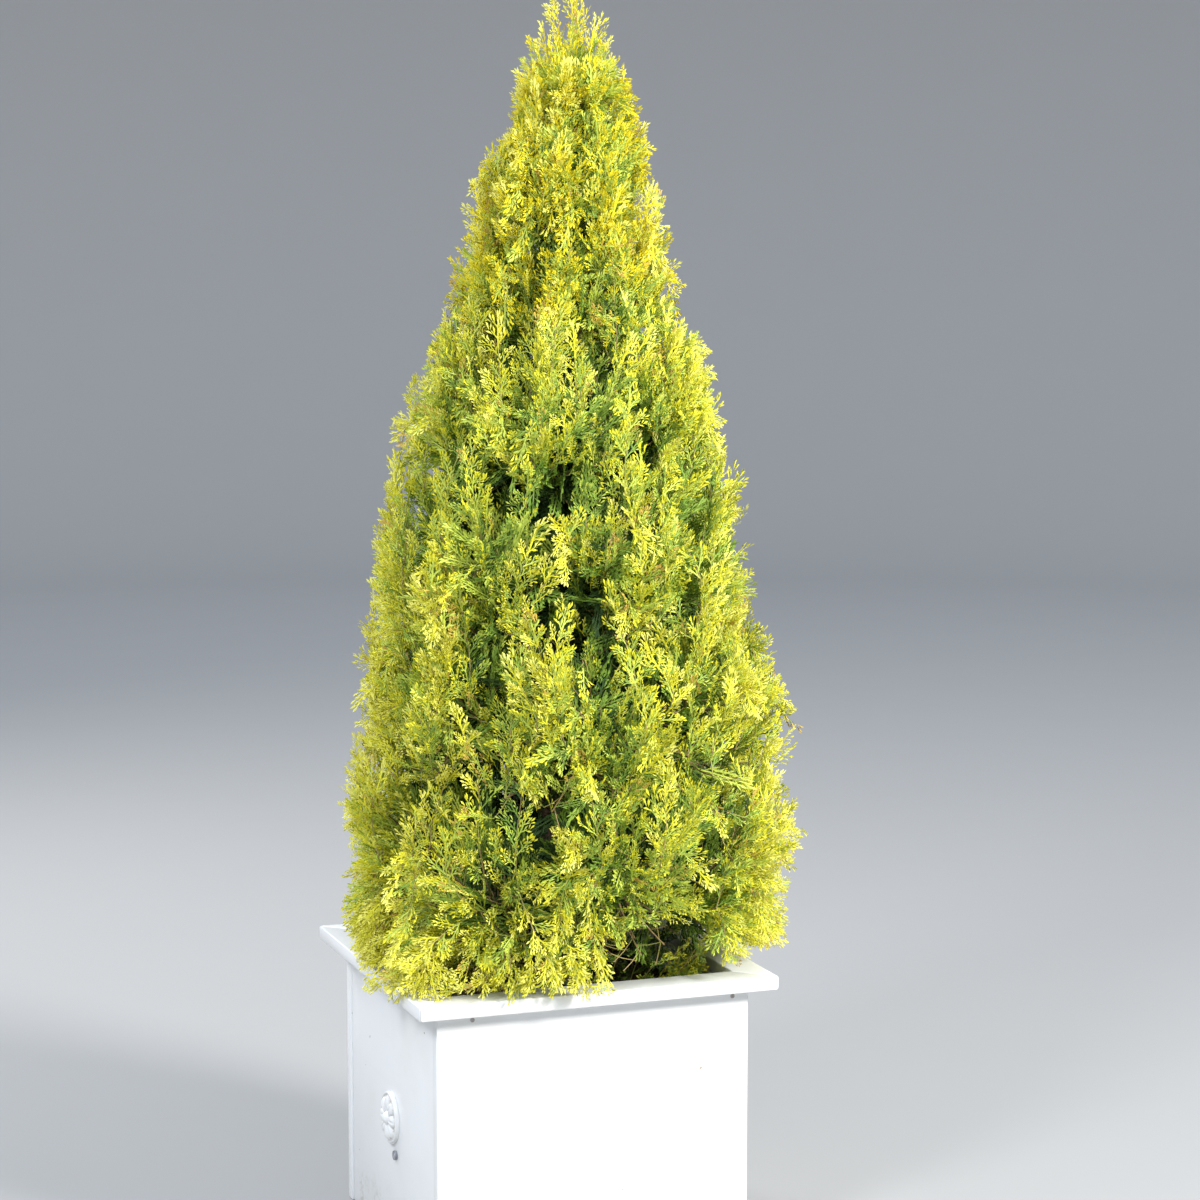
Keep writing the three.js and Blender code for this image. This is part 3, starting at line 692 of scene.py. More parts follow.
# Trunk
# One stem rises from a flared foot, leans a little to the right and tapers to the leader. Its red-brown bark
# is fibrous, and splits into long flat strips that fray and lift at their edges.
TRUNK_LEAN = np.array([20, -4]) * MM
TRUNK_BASE = 402.3 * MM
TRUNK_TOP = 1740 * MM
TRUNK_RADIUS = 22 * MM
TRUNK_TIP_RADIUS = 4 * MM
FLARE_RADIUS = 12 * MM
FLARE_HEIGHT = 45 * MM
TRUNK_RINGS = 300
TRUNK_SIDES = 56
TRUNK_BARK_INSET = 0.4 * MM
BARK_DEPTH = 1.6 * MM
BARK_SHARE = 0.16
STRIPS_PER_METRE = 260
STRIP_STRETCH = 0.11
STRIP_NOISE = (0.8, 2.0, 4)
SPLIT_DEPTH = 0.6
SPLITS_PER_STRIP = 0.6
TRUNK_GRAIN = (1, 1, 0.09)
BARK_CRISP_OVER = 60
FIBRE_DEPTH = 1.4 * MM
BARK_BROWN = (0.105, 0.058, 0.035, 1)
BARK_PALE = (0.29, 0.20, 0.135, 1)
# The furrows' colour: the bark's own darker furrows, deepened with painted shade.
BARK_FURROW_AND_SHADE = (0.03, 0.018, 0.012, 1)
LICHEN = (0.24, 0.25, 0.20, 1)


def within(ends, share):
    return ends[0] + (ends[1] - ends[0]) * share


def trunk_share(height):
    return (height - TRUNK_BASE) / (TRUNK_TOP - TRUNK_BASE)


def trunk_axis(height):
    """The middle of the trunk at a height, carried on above it."""
    height = np.asarray(height, float)
    sway = trunk_share(height)[..., None] ** 2
    return np.concatenate([TRUNK_FOOT + TRUNK_LEAN * sway, height[..., None]], axis=-1)


def trunk_radius(height):
    flare = FLARE_RADIUS * np.exp(-(height - TRUNK_BASE) / FLARE_HEIGHT)
    return within((TRUNK_RADIUS, TRUNK_TIP_RADIUS), trunk_share(height)) + flare


def bark_relief(angle, along, radius):
    """Long strips with splits between them: fine noise round the limb, stretched many times along it."""
    place = Vector((math.cos(angle) * radius, math.sin(angle) * radius, along * STRIP_STRETCH))
    place = place * STRIPS_PER_METRE
    return noise.fractal(place, *STRIP_NOISE) - SPLIT_DEPTH * abs(noise.noise(place * SPLITS_PER_STRIP))


def limb_mesh(name, middles, radii, sides):
    """A limb with bark in relief along a line of middles, and closed ends."""
    middles = [Vector(m) for m in middles]
    points = []
    arm = Vector((0, 1, 0))
    length = 0.0
    for k, (middle, radius) in enumerate(zip(middles, radii)):
        after = middles[min(k + 1, len(middles) - 1)]
        before = middles[max(k - 1, 0)]
        along = (after - before).normalized()
        arm = (arm - along * arm.dot(along)).normalized()
        across = along.cross(arm)
        length += (middle - before).length
        for side in range(sides):
            angle = 2 * math.pi * side / sides
            rough = min(BARK_DEPTH, radius * BARK_SHARE) * bark_relief(angle, length, radius)
            way = arm * math.cos(angle) + across * math.sin(angle)
            points.append(middle + way * (radius + rough))
    faces = []
    for ring in range(len(middles) - 1):
        for side in range(sides):
            a = ring * sides
            b = a + sides
            following = (side + 1) % sides
            faces.append((a + side, a + following, b + following, b + side))
    last = (len(middles) - 1) * sides
    faces.append([side for side in reversed(range(sides))])
    faces.append([last + side for side in range(sides)])
    return shape_mesh(name, points, faces)


def bark_finish(name, stretch):
    finish = Finish(name, Specular_IOR_Level=0.3)
    strips = finish.noise(150, 5, stretch)
    fibres = finish.noise(620, 4, stretch)
    lichen = finish.noise(34, 4)
    colour = finish.mix(strips.rise(0.4, 0.62), BARK_BROWN, BARK_PALE)
    colour = finish.mix(fibres.rise(0.5, 0.72) * 0.5, colour, BARK_PALE)
    # Painted shade with the bark's own colour: the furrows between the strips are near black.
    colour = finish.mix(strips.rise(0.4, 0.28), colour, BARK_FURROW_AND_SHADE)
    colour = finish.mix(lichen.rise(0.56, 0.72) * 0.35, colour, LICHEN)
    return finish.wear(colour, 0.82 + fibres * 0.15, strips + fibres * 0.4, FIBRE_DEPTH)


heights = np.linspace(TRUNK_BASE, TRUNK_TOP, TRUNK_RINGS)
girths = trunk_radius(heights) - TRUNK_BARK_INSET
mesh = limb_mesh("trunk_bark", trunk_axis(heights), girths, TRUNK_SIDES)
placed("trunk_bark", mesh, bark_finish("fibrous_bark", TRUNK_GRAIN), "bark", "trunk", smooth=BARK_CRISP_OVER)


# Boughs
# Fourteen boughs leave the trunk in two tiers, sag and bow out, and end where they enter their masses of
# foliage. Their bark is that of the trunk, thinner and tighter. Higher masses grow straight from the trunk.
CROWN_PROFILE = np.array([
    (456, 318), (525, 350), (690, 357), (850, 335), (1000, 303), (1170, 283), (1310, 245),
    (1440, 196), (1530, 173), (1630, 146), (1730, 108), (1820, 72), (1900, 54), (1972, 24),
]) * MM
CROWN_SHIFT = np.array([(850, 22), (1000, 0)]) * MM
# Each tier has a name, its height in mm, its number of masses, the first one's bearing in degrees, how far
# out they stand in the crown, how far under them in mm they leave the trunk, whether on a bough, and a seed.
TIERS = (
    ("skirt", 592, 7, -142, 0.66, 128, True, 11),
    ("low", 850, 7, -107, 0.66, 215, True, 23),
    ("middle", 1095, 6, -139, 0.62, 190, False, 37),
    ("upper", 1315, 5, -109, 0.60, 150, False, 41),
    ("shoulder", 1510, 3, -70, 0.52, 110, False, 59),
    ("spire", 1675, 2, -130, 0.48, 80, False, 67),
)
LEADER_HEIGHT = 1845 * MM
LEADER_SEED = 7300
CLEAR = 0.3 * MM
MASS_STAGGER = 90 * MM
ROOT_STAGGER = -30 * MM
GOLDEN_SHARE = (math.sqrt(5) - 1) / 2
BOUGH_RADIUS = 9 * MM
BOUGH_TIP_RADIUS = 5 * MM
BOUGH_REACH = 0.52
BOUGH_RISE = 0.66
BOUGH_BOW_OUT = 16 * MM
BOUGH_BOW_UP = -12 * MM
BOUGH_START = 0.04
BOUGH_RINGS = 46
BOUGH_SIDES = 18
BOUGH_BARK_INSET = 0.3 * MM
BOUGH_GRAIN = (0.35, 0.35, 0.35)
UP = np.array([0.0, 0.0, 1.0])


def crown_radius(height):
    return np.interp(height, CROWN_PROFILE[:, 0], CROWN_PROFILE[:, 1])


def crown_axis(height):
    axis = trunk_axis(height)
    axis[..., 0] += np.interp(height, CROWN_SHIFT[:, 0], CROWN_SHIFT[:, 1])
    return axis


def heading(angle):
    """The level direction at this angle from X."""
    return np.array([math.cos(angle), math.sin(angle), 0])


def bend(ends, share):
    """Points along a curve from one end to the other that is drawn towards the point between them."""
    share = np.asarray(share, float)[..., None]
    return ends[0] * (1 - share) ** 2 + ends[1] * 2 * share * (1 - share) + ends[2] * share**2


def bough_of(middle, out, root):
    """A bough leaves the trunk, bows a little and ends at its mass."""
    tip = trunk_axis(middle[2]) * (1 - BOUGH_REACH) + middle * BOUGH_REACH
    tip[2] = within((root[2], middle[2]), BOUGH_RISE)
    elbow = (root + tip) / 2 + out * BOUGH_BOW_OUT + UP * BOUGH_BOW_UP
    return np.array([root, elbow, tip])


def masses_of(name, height, count, turn, out_share, root_drop, has_bough, seed):
    for k in range(count):
        out = heading(math.radians(turn + 360 * k / count))
        stagger = (k * GOLDEN_SHARE) % 1 - 0.5
        level = height * MM + MASS_STAGGER * stagger
        middle = crown_axis(level) + out * crown_radius(level) * out_share
        root = trunk_axis(level - root_drop * MM + ROOT_STAGGER * stagger)
        bough = bough_of(middle, out, root) if has_bough else None
        yield SimpleNamespace(
            name=f"{name}_{k + 1}", tier=name, middle=middle, out=out, root=root, bough=bough,
            seed=seed * 100 + k,
        )


masses = [mass for tier in TIERS for mass in masses_of(*tier)]
leader = SimpleNamespace(
    name="leader", tier="leader", middle=trunk_axis(LEADER_HEIGHT), out=np.zeros(3),
    root=trunk_axis(TRUNK_TOP + CLEAR), bough=None, seed=LEADER_SEED,
)
masses.append(leader)

bough_bark = bark_finish("bough_bark", BOUGH_GRAIN)
shares = np.linspace(BOUGH_START, 1, BOUGH_RINGS)
girths = within((BOUGH_RADIUS, BOUGH_TIP_RADIUS), shares) - BOUGH_BARK_INSET
for mass in masses:
    if mass.bough is not None:
        mesh = limb_mesh(f"bark_{mass.name}", bend(mass.bough, shares), girths, BOUGH_SIDES)
        placed(f"bark_{mass.name}", mesh, bough_bark, "bark", f"bough_{mass.name}", smooth=BARK_CRISP_OVER)


# Crown
# The foliage as a whole is a narrow cone that the plant's own growth keeps dense, as if clipped. It stands in
# upright columns with furrows between them, bulges over the left corner of the rim, hangs a little over the
# rim elsewhere, and leaves a hollow over the front rail, where the skirt is bare and the soil and twigs show.
CROWN_TOP = 1972 * MM
FLUTES = 11
FLUTE_DEPTH = 0.12
FLUTES_DEEPEN = (0.50, 0.75)
FLUTES_GROW = (0.3, 1)
FLUTE_SWAY = 0.7
FLUTE_WAVES = 8
GROOVE_BEARING = math.radians(-162)
BULGE_BEARING = math.radians(-150)
BULGE_HEIGHT = 0.50
BULGE_HALF = (math.radians(24), 0.15)
BULGE_OUT = 75 * MM
LEFT_MOST = 308 * MM
LUMP_DEPTH = 8 * MM
LUMP_HEIGHT = 0.19
LUMP_LEAN = 1.5
WAIST_HEIGHT = 1.47
WAIST_HALF = 0.035
WAIST_DEPTH = 16 * MM
SKIRT = 456 * MM
SKIRT_INSIDE = 420 * MM
MOUTH = 218 * MM
RIM_EDGE = 290 * MM
DRAPE = 428 * MM
LOW_OVER = 2 * MM
CORNER_BEARING = math.radians(-50)
CORNER_HALF = math.radians(20)
CORNER_LIFT = 36 * MM
HOLLOW_PLACE = np.array([0.086, -0.275, 0.506])
HOLLOW_SIZE = np.array([96, 105, 64]) * MM
CELL_GAP = 3 * MM
STEP = 4 * MM
MOST_REACH = 0.5
LEAST_LEFTWARD = 0.1
TINY = 1e-6


def bearing_of(points):
    away = points - crown_axis(points[:, 2])
    return np.arctan2(away[:, 1], away[:, 0])


def outward(points):
    """The level direction from the crown's middle to each point."""
    away = points - crown_axis(points[:, 2])
    return away / np.maximum(np.linalg.norm(away, axis=1, keepdims=True), TINY)


def depth_of(points):
    """How far inside the crown's outline each point is."""
    return crown_radius(points[:, 2]) - np.linalg.norm(points - crown_axis(points[:, 2]), axis=1)


def furrow_at(bearing, height):
    """0 on the ridges between the furrows that run up the crown, 1 in the furrows."""
    sway = FLUTE_SWAY * np.sin(height * FLUTE_WAVES)
    return 0.5 + 0.5 * np.cos((bearing - GROOVE_BEARING) * FLUTES + sway)


def crown_edge(points):
    """The foliage's outline: upright columns, furrows, faint lumps, a waist, and a bulge at one corner."""
    bearing = bearing_of(points)
    height = points[:, 2]
    aside = np.angle(np.exp(1j * (bearing - BULGE_BEARING))) / BULGE_HALF[0]
    above = (height - BULGE_HEIGHT) / BULGE_HALF[1]
    bulge = BULGE_OUT * np.exp(-(aside**2) - above**2)
    furrow = furrow_at(bearing, height) * np.interp(height, FLUTES_DEEPEN, FLUTES_GROW)
    lean = LUMP_LEAN * np.sin(2 * bearing + 1)
    lumps = LUMP_DEPTH * np.sin(height * math.tau / LUMP_HEIGHT + lean + bearing)
    waist = WAIST_DEPTH * np.exp(-(((height - WAIST_HEIGHT) / WAIST_HALF) ** 2))
    edge = crown_radius(height) * (1 - FLUTE_DEPTH * furrow**2) + bulge + lumps - waist
    leftmost = (LEFT_MOST + crown_axis(height)[:, 0]) / np.maximum(-np.cos(bearing), LEAST_LEFTWARD)
    return np.minimum(edge, leftmost)


def lowest_at(points):
    """How low foliage hangs: inside the rim, over it, higher at its front right corner, and past its left."""
    lift = CORNER_LIFT * np.exp(-(((bearing_of(points) - CORNER_BEARING) / CORNER_HALF) ** 2))
    square = np.abs(points[:, :2]).max(axis=1)
    lowest = np.where(square < MOUTH, SKIRT_INSIDE, SKIRT + lift)
    return np.where(points[:, 0] < -RIM_EDGE, DRAPE, lowest)


def in_crown(points, edge, over=0.0):
    away = np.linalg.norm(points - crown_axis(points[:, 2]), axis=1)
    high = points[:, 2]
    return (high > lowest_at(points) - min(over, LOW_OVER)) & (high < CROWN_TOP + over) & (away < edge + over)


def in_hollow(points):
    return (((points - HOLLOW_PLACE) / HOLLOW_SIZE) ** 2).sum(axis=1) < 1


def on_own_side(points, mass):
    """Whether points are nearer the middle of this mass than that of any other."""
    middles = np.array([other.middle for other in masses if other is not mass])
    apart = np.linalg.norm(middles - mass.middle, axis=1)
    own = ((points - mass.middle) ** 2).sum(axis=1)
    others = ((points[:, None] - middles[None]) ** 2).sum(axis=2)
    return (others - own[:, None] > 2 * apart * CELL_GAP).all(axis=1)


def reach_of(feet, ways, held):
    """How far straight lines from these feet stay where they may."""
    steps = np.arange(1, int(MOST_REACH / STEP)) * STEP
    points = feet[:, None] + ways[:, None] * steps[None, :, None]
    inside = held(points.reshape(-1, 3)).reshape(len(feet), -1)
    inside[:, -1] = False
    return np.argmin(inside, axis=1) * STEP


# Stems and twigs
# Each mass grows from one stem, which rises into its middle from a bough's tip or from the trunk. Woody twigs
# leave the stem in a spiral of directions, sag a little, and stop short of the crown's outline.
STEM_RADIUS = 6.3 * MM
STEM_TIP_RADIUS = 2 * MM
STEM_LEAD_OUT = 0.6
STEM_LEAD_UP = 0.3
STEM_LEAD_ALONG = 0.5
STEM_POINTS = 11
LEADER_FORK = 1.785
TWIGS = {"skirt": 47, "low": 38, "middle": 38, "upper": 36, "shoulder": 36, "spire": 40, "leader": 44}
TWIG_START = (0.2, 1)
LEADER_TWIG_START = (0.0, 0.85)
TWIG_RADII = (2.0 * MM, 1.1 * MM)
TWIG_POINTS = 5
TWIG_SAG = 0.12
TWIG_BEND = 0.07
TWIG_SHORT_OF_REACH = 60 * MM
TWIG_LEAST = 0.45
GOLDEN_ANGLE = math.pi * (3 - math.sqrt(5))
FACES_OUT = 1.3
FAN = math.radians(98)
SKIRT_FAN = math.radians(112)
SPRAY_LEAST = 20 * MM
SPRAY_LENGTH = (92 * MM, 66 * MM)
SPRAY_SPREAD = (0.7, 1.2)

twig_paths = []


def unit(vectors):
    return vectors / np.linalg.norm(vectors, axis=-1, keepdims=True)


def stem_of(mass):
    """The curve of a mass's stem into its middle, and the radius of its foot on what carries it."""
    if mass is leader:
        tip = trunk_axis(LEADER_FORK)
        return np.array([mass.root, (mass.root + tip) / 2, tip]), TRUNK_TIP_RADIUS
    if mass.bough is None:
        lead = mass.root + (mass.middle - mass.root) * STEM_LEAD_OUT
        lead[2] = within((mass.root[2], mass.middle[2]), STEM_LEAD_UP)
        return np.array([mass.root, lead, mass.middle]), STEM_RADIUS
    along = unit(mass.bough[2] - mass.bough[1])
    start = mass.bough[2] + along * CLEAR
    lead = start + along * np.linalg.norm(mass.middle - start) * STEM_LEAD_ALONG
    return np.array([start, lead, mass.middle]), BOUGH_TIP_RADIUS


def spread_of(mass):
    """A spiral of directions round the way that the mass faces."""
    faces = unit(mass.out * FACES_OUT + UP)
    side = unit(np.cross(UP, np.array([1.0, 0, 0]) if mass is leader else mass.out))
    rise = np.cross(faces, side)
    k = np.arange(TWIGS[mass.tier])
    widest = SKIRT_FAN if mass.tier == "skirt" else FAN
    tilt = widest * np.sqrt((k + 0.5) / len(k))[:, None]
    turn = (k * GOLDEN_ANGLE + mass.seed)[:, None]
    return faces * np.cos(tilt) + np.sin(tilt) * (side * np.cos(turn) + rise * np.sin(turn))


def spray_length(height):
    return within(SPRAY_LENGTH, (height - SKIRT) / (CROWN_TOP - SKIRT))


def twigs_of(random, mass, stem):
    """The twigs of a stem: each is as long as it has room in the crown and in its own mass's share of it."""
    ways = spread_of(mass)
    feet = bend(stem, within(LEADER_TWIG_START if mass is leader else TWIG_START, random.random(len(ways))))

    def held(points):
        return in_crown(points, crown_radius(points[:, 2])) & on_own_side(points, mass)

    reach = reach_of(feet, ways, held)
    kept = reach > SPRAY_LEAST
    feet, ways, reach = feet[kept], ways[kept], reach[kept]
    spray_lengths = spray_length(feet[:, 2]) * within(SPRAY_SPREAD, random.random(len(ways)))
    runs = np.maximum(reach - TWIG_SHORT_OF_REACH, reach * TWIG_LEAST)
    ends = feet + ways * runs[:, None]
    elbows = (feet + ends) / 2 - UP * runs[:, None] * TWIG_SAG
    elbows += random.normal(0, TWIG_BEND, ends.shape) * runs[:, None]
    return SimpleNamespace(
        feet=feet, elbows=elbows, ends=ends, ways=ways, runs=runs, spray_lengths=spray_lengths
    )


# Fans
# Flat fans of leaves spread from the ends of the twigs and of their side shoots. They stand on edge to the
# trunk and turn up towards the light, but hang at the lowest boughs. Their own shapes follow under Sprays.
SPRAY_OVER = 10 * MM
SHRINK = 0.88
SHRINKS = 10
PROBE_ALONG = 0.6
PROBE_ASIDE = 0.28
LIT_BASE = 1.15
LIT_FAN_UNEVEN = 0.35
LIT_DEPTH = -9.0
LIT_SIDES = (0.24, 0.12)
LIT_AT_HEIGHT = ((0.6, 0.9, 1.2, 1.5, 1.85), (0.12, 0.0, 0.0, -0.10, 0.0))
HANGING_BELOW = (0.50, 0.72)
LIFT = (-0.55, 1.1)
LIFT_UNEVEN = (0.6, 1.3)
LIFT_ALONG = 0.7
LIFT_OUT = 0.45
LIFT_STRAY = 0.16
TURNED_SHARE = 0.4
TURNED = (0.7, 2.4)
TURN_UNEVEN = 0.5

sprays = []


def add_sprays(mass, kind, roots, ways, faces, lengths, lit, bare_hollow=True):
    """Keeps the sprays that have room in the crown, and shrinks those whose tip or sides stand out of it.

    A spray's lit is 1 or more in the light, and less in the shade: near the crown's middle and on its right.
    """

    def held(points):
        return in_crown(points, crown_edge(points), SPRAY_OVER)

    lengths = np.minimum(lengths, reach_of(roots, ways, held) + SPRAY_OVER)
    faces = unit(faces - ways * (faces * ways).sum(axis=1, keepdims=True))
    acrosses = np.cross(faces, ways)
    sides = (ways * PROBE_ALONG + acrosses * PROBE_ASIDE, ways * PROBE_ALONG - acrosses * PROBE_ASIDE)
    for probe in (ways, *sides):
        for _ in range(SHRINKS):
            lengths = np.where(held(roots + probe * lengths[:, None]), lengths, lengths * SHRINK)
    lengths = np.where(in_hollow(roots + ways * lengths[:, None] / 2) & bare_hollow, 0, lengths)
    tips = roots + ways * lengths[:, None]
    lit = lit + LIT_DEPTH * np.maximum(depth_of(tips), 0) + np.interp(tips[:, 2], *LIT_AT_HEIGHT)
    leftward = -np.cos(bearing_of(tips))
    lit = lit + leftward * np.where(leftward > 0, LIT_SIDES[0], -LIT_SIDES[1])
    for k in np.flatnonzero(lengths > SPRAY_LEAST):
        turn = turn_of(ways[k], acrosses[k], faces[k])
        sprays.append(SimpleNamespace(
            root=roots[k], turn=turn, length=lengths[k], lit=lit[k], kind=kind, tier=mass.tier
        ))


def lifted(random, ways, points):
    """Sprays turn up towards the light, but hang where they leave the lowest boughs."""
    lift = np.interp(points[:, 2], HANGING_BELOW, LIFT) * random.uniform(*LIFT_UNEVEN, len(points))
    stray = random.normal(0, LIFT_STRAY, points.shape)
    return unit(ways * LIFT_ALONG + outward(points) * LIFT_OUT + UP * lift[:, None] + stray)


def on_edge(random, ways):
    """The faces of sprays that stand on edge to the trunk, give or take a turn."""
    level = unit(np.cross(ways, UP) + TINY)
    turned = random.random(len(ways)) < TURNED_SHARE
    wide, narrow = random.uniform(*TURNED, len(ways)), random.normal(0, TURN_UNEVEN, len(ways))
    turns = np.where(turned, wide, narrow)[:, None]
    return level * np.cos(turns) + np.cross(ways, level) * np.sin(turns)


def add_fans(random, mass, roots, ways, lengths):
    """Fans at the ends of twigs or shoots."""
    faces = on_edge(random, ways)
    lit = LIT_BASE + random.normal(0, LIT_FAN_UNEVEN, len(roots))
    add_sprays(mass, "fan", roots, ways, faces, lengths, lit)


# Plumes
# The crown's columns are long plumes that run up just under its outline from the twigs' ends, or hang down at
# the skirt. Each is a thin green stem that tufts of young sprays hide, and some droop at their tips.
PLUME_FROM = 0.12
PLUME_RISES_ABOVE = 0.54
PLUME_HANGS_BELOW = 0.66
PLUME_RISES = (90 * MM, 190 * MM)
PLUME_HANGS = (90 * MM, 170 * MM)
PLUME_LOWEST = SKIRT + 6 * MM
PLUME_LEAST_OUT = 2 * MM
PLUME_SWAY = 0.07
PLUME_STRAY = 0.05
PLUME_PULL = 0.3
PLUME_DEPTH = (10 * MM, 38 * MM)
PLUME_OUT_BY = 0.6
PLUME_STEPS = 6
PLUME_RADIUS = (1.2 * MM, 0.6 * MM)
DROOPING_SHARE = 0.28
DROOP = (0.5, 0.9)
DROOPING_OUT = 0.6
LIT_PLUME_UNEVEN = 0.26
LIT_FURROW = 0.45
LIT_FACING = 0.22
LIT_ALONG = 0.3
LIT_TUFT_UNEVEN = 0.16
TUFT_EVERY = 12 * MM
TUFT_PLACES = (0.1, 0.9)
TUFT_SPREAD = (34 * MM, 52 * MM)
TUFT_TAPER = 0.3
TUFT_OPEN = 0.75
TUFT_ALONG = (0.65, 1.1)
TUFT_ROUND = (0.1, 2.0)
TUFT_ROLL = 0.3
TIP_SUNK_MM = 4
TIP_ROLL = 0.5

shoot_paths = []


def clothe(random, mass, line, lit, size=1.0, open_out=TUFT_OPEN, bare_hollow=True):
    """Covers a plume's stem with tufts on its sides and its outer face, and one at its tip."""
    bare = ((line[:, 2] < lowest_at(line)) | in_hollow(line)) & bare_hollow
    line = line[: np.argmax(np.append(bare, True))]
    if len(line) < 3:
        return
    steps = np.diff(line, axis=0)
    run = np.linalg.norm(steps, axis=1).sum()
    count = max(2, int(run / TUFT_EVERY / size))
    share = (np.arange(count) + random.uniform(*TUFT_PLACES, count)) / count
    position = share * len(steps)
    low = np.minimum(position.astype(int), len(steps) - 1)
    roots = line[low] + steps[low] * (position - low)[:, None]
    along = unit(steps)[low]
    out = unit(outward(roots) - along * (outward(roots) * along).sum(axis=1, keepdims=True))
    around = np.where(np.arange(count) % 2 == 0, 1, -1) * random.uniform(*TUFT_ROUND, count)
    side = out * np.cos(around)[:, None] + np.cross(along, out) * np.sin(around)[:, None]
    ways = unit(along * random.uniform(*TUFT_ALONG, (count, 1)) + side * open_out)
    faces = np.cross(along, side) + random.normal(0, TUFT_ROLL, (count, 3))
    sizes = within(TUFT_SPREAD, random.random(count)) * (1 - TUFT_TAPER * share) * size
    tuft_lit = lit + LIT_FACING * np.cos(around) + LIT_ALONG * (share - 0.5)
    tuft_lit = tuft_lit + random.normal(0, LIT_TUFT_UNEVEN, count)
    add_sprays(mass, "tuft", roots, ways, faces, sizes, tuft_lit, bare_hollow)
    way = unit(steps[-1:])
    tip = line[-1:] - way * TIP_SUNK_MM * MM
    face = outward(tip) + random.normal(0, TIP_ROLL, (1, 3))
    add_sprays(mass, "tuft", tip, way, face, np.array([TUFT_SPREAD[1] * size]), np.array([lit + LIT_ALONG]))
    shoot_paths.append((line, np.linspace(*PLUME_RADIUS, len(line))))


def plume(random, mass, end, run):
    """A plume runs from a twig's end under the crown's outline, up or down, drawn to the nearest ridge."""
    top = np.clip(end[2] + run, PLUME_LOWEST, LEADER_FORK)
    share = np.linspace(0, 1, PLUME_STEPS)
    droop = within(DROOP, random.random()) if run > 0 and random.random() < DROOPING_SHARE else 0
    heights = within((end[2], top), share - droop * share**3)
    bearing = bearing_of(end[None])[0]
    flute = np.round((bearing - GROOVE_BEARING) * FLUTES / math.tau - 0.5)
    ridge = GROOVE_BEARING + (flute + 0.5) * math.tau / FLUTES
    sway = random.normal(0, PLUME_SWAY) * np.sin(share * math.pi) + random.normal(0, PLUME_STRAY) * share
    bearings = bearing + (ridge - bearing) * PLUME_PULL * share + sway
    line = crown_axis(heights) + np.stack([np.cos(bearings), np.sin(bearings), 0 * share], axis=1) * MM
    first = max(crown_edge(end[None])[0] - np.linalg.norm(end - crown_axis(end[2])), 0)
    last = within(PLUME_DEPTH, random.random()) * (1 - DROOPING_OUT * (droop > 0))
    depths = within((first, last), share**PLUME_OUT_BY)
    far = np.maximum(crown_edge(line) - depths, PLUME_LEAST_OUT)[:, None]
    line = crown_axis(heights) + outward(line) * far
    lit = random.normal(0, LIT_PLUME_UNEVEN) - LIT_FURROW * furrow_at(bearings[-1], top)
    clothe(random, mass, line, LIT_BASE + lit)


def plumes(random, mass, ends):
    """Twigs that end near the crown's outline carry plumes: rising ones, and hanging ones low down."""
    for end, depth in zip(ends, depth_of(ends)):
        if depth < PLUME_FROM and end[2] > PLUME_RISES_ABOVE:
            plume(random, mass, end, within(PLUME_RISES, random.random()))
        if depth < PLUME_FROM and end[2] < PLUME_HANGS_BELOW:
            plume(random, mass, end, -within(PLUME_HANGS, random.random()))


# Hem
# The lowest twigs of the skirt run out over the rim all round and droop at their ends. Like the plumes, they
# are thin and green there, and tufts of young sprays hide them.
HEMS = 9
HEM_HEIGHT = (0.462, 0.50)
HEM_STRAY = 0.03
HEM_RISE = 0.03
HEM_LEAST = 8 * MM
HEM_POINTS = 9
HEM_BARE = 3


def hem(random, mass, stem):
    skirts = sum(other.tier == mass.tier for other in masses)
    middle = math.atan2(mass.out[1], mass.out[0])
    for k in range(HEMS):
        foot = bend(stem, random.random())
        bearing = middle + math.tau / skirts * ((k + 0.5) / HEMS - 0.5) + random.normal(0, HEM_STRAY)
        height = within(HEM_HEIGHT, random.random())
        out = heading(bearing)
        edge = crown_edge(crown_axis(height)[None] + out * MM)[0]
        end = crown_axis(height) + out * (edge - within(PLUME_DEPTH, random.random()))
        end[2] = max(end[2], lowest_at(end[None])[0] + HEM_LEAST)
        if in_hollow(end[None])[0]:
            continue
        line = bend((foot, (foot + end) / 2 + UP * HEM_RISE, end), np.linspace(0, 1, HEM_POINTS))
        twig_paths.append((line, np.linspace(TWIG_RADII[1], PLUME_RADIUS[1], len(line))))
        clothe(random, mass, line[HEM_BARE:], LIT_BASE + random.normal(0, LIT_PLUME_UNEVEN))


# Side shoots
# Soft green shoots leave each twig on one side and the other in turn, and end in fans. Old sprays, dark with
# painted shade, stay on the inner parts of the twigs, and keep the crown full where its boughs stand apart.
SHOOT_EVERY = 23 * MM
SHOOTS = (3, 10)
SHOOT_UNEVEN = (0.2, 0.8)
SHOOT_PLACES = (0.2, 0.98)
SHOOT_CROWDING = 0.7
SHOOT_ANGLE = math.radians(52)
SHOOT_STRAY = 0.8
SHOOT_RISE = 0.25
SHOOT_LENGTH = (18 * MM, 60 * MM)
SHOOT_LEAST = 8 * MM
SHOOT_SAG = 0.1
SHOOT_RADIUS = 1.0 * MM
SHOOT_TIP_SHARE = 0.7
SHOOT_POINTS = 3
SHOOT_FAN = (0.7, 1.1)
INNER_LIT = 0.35
OLD_RISE = 0.3
INNER = SimpleNamespace(count=3, places=(0.2, 0.8), stray=0.65, along=0.6, size=1.1)
THIN = SimpleNamespace(count=4, places=(0.45, 1), stray=0.6, along=0.5, size=1.15)
THIN_HEIGHTS = (1.00, 1.34)


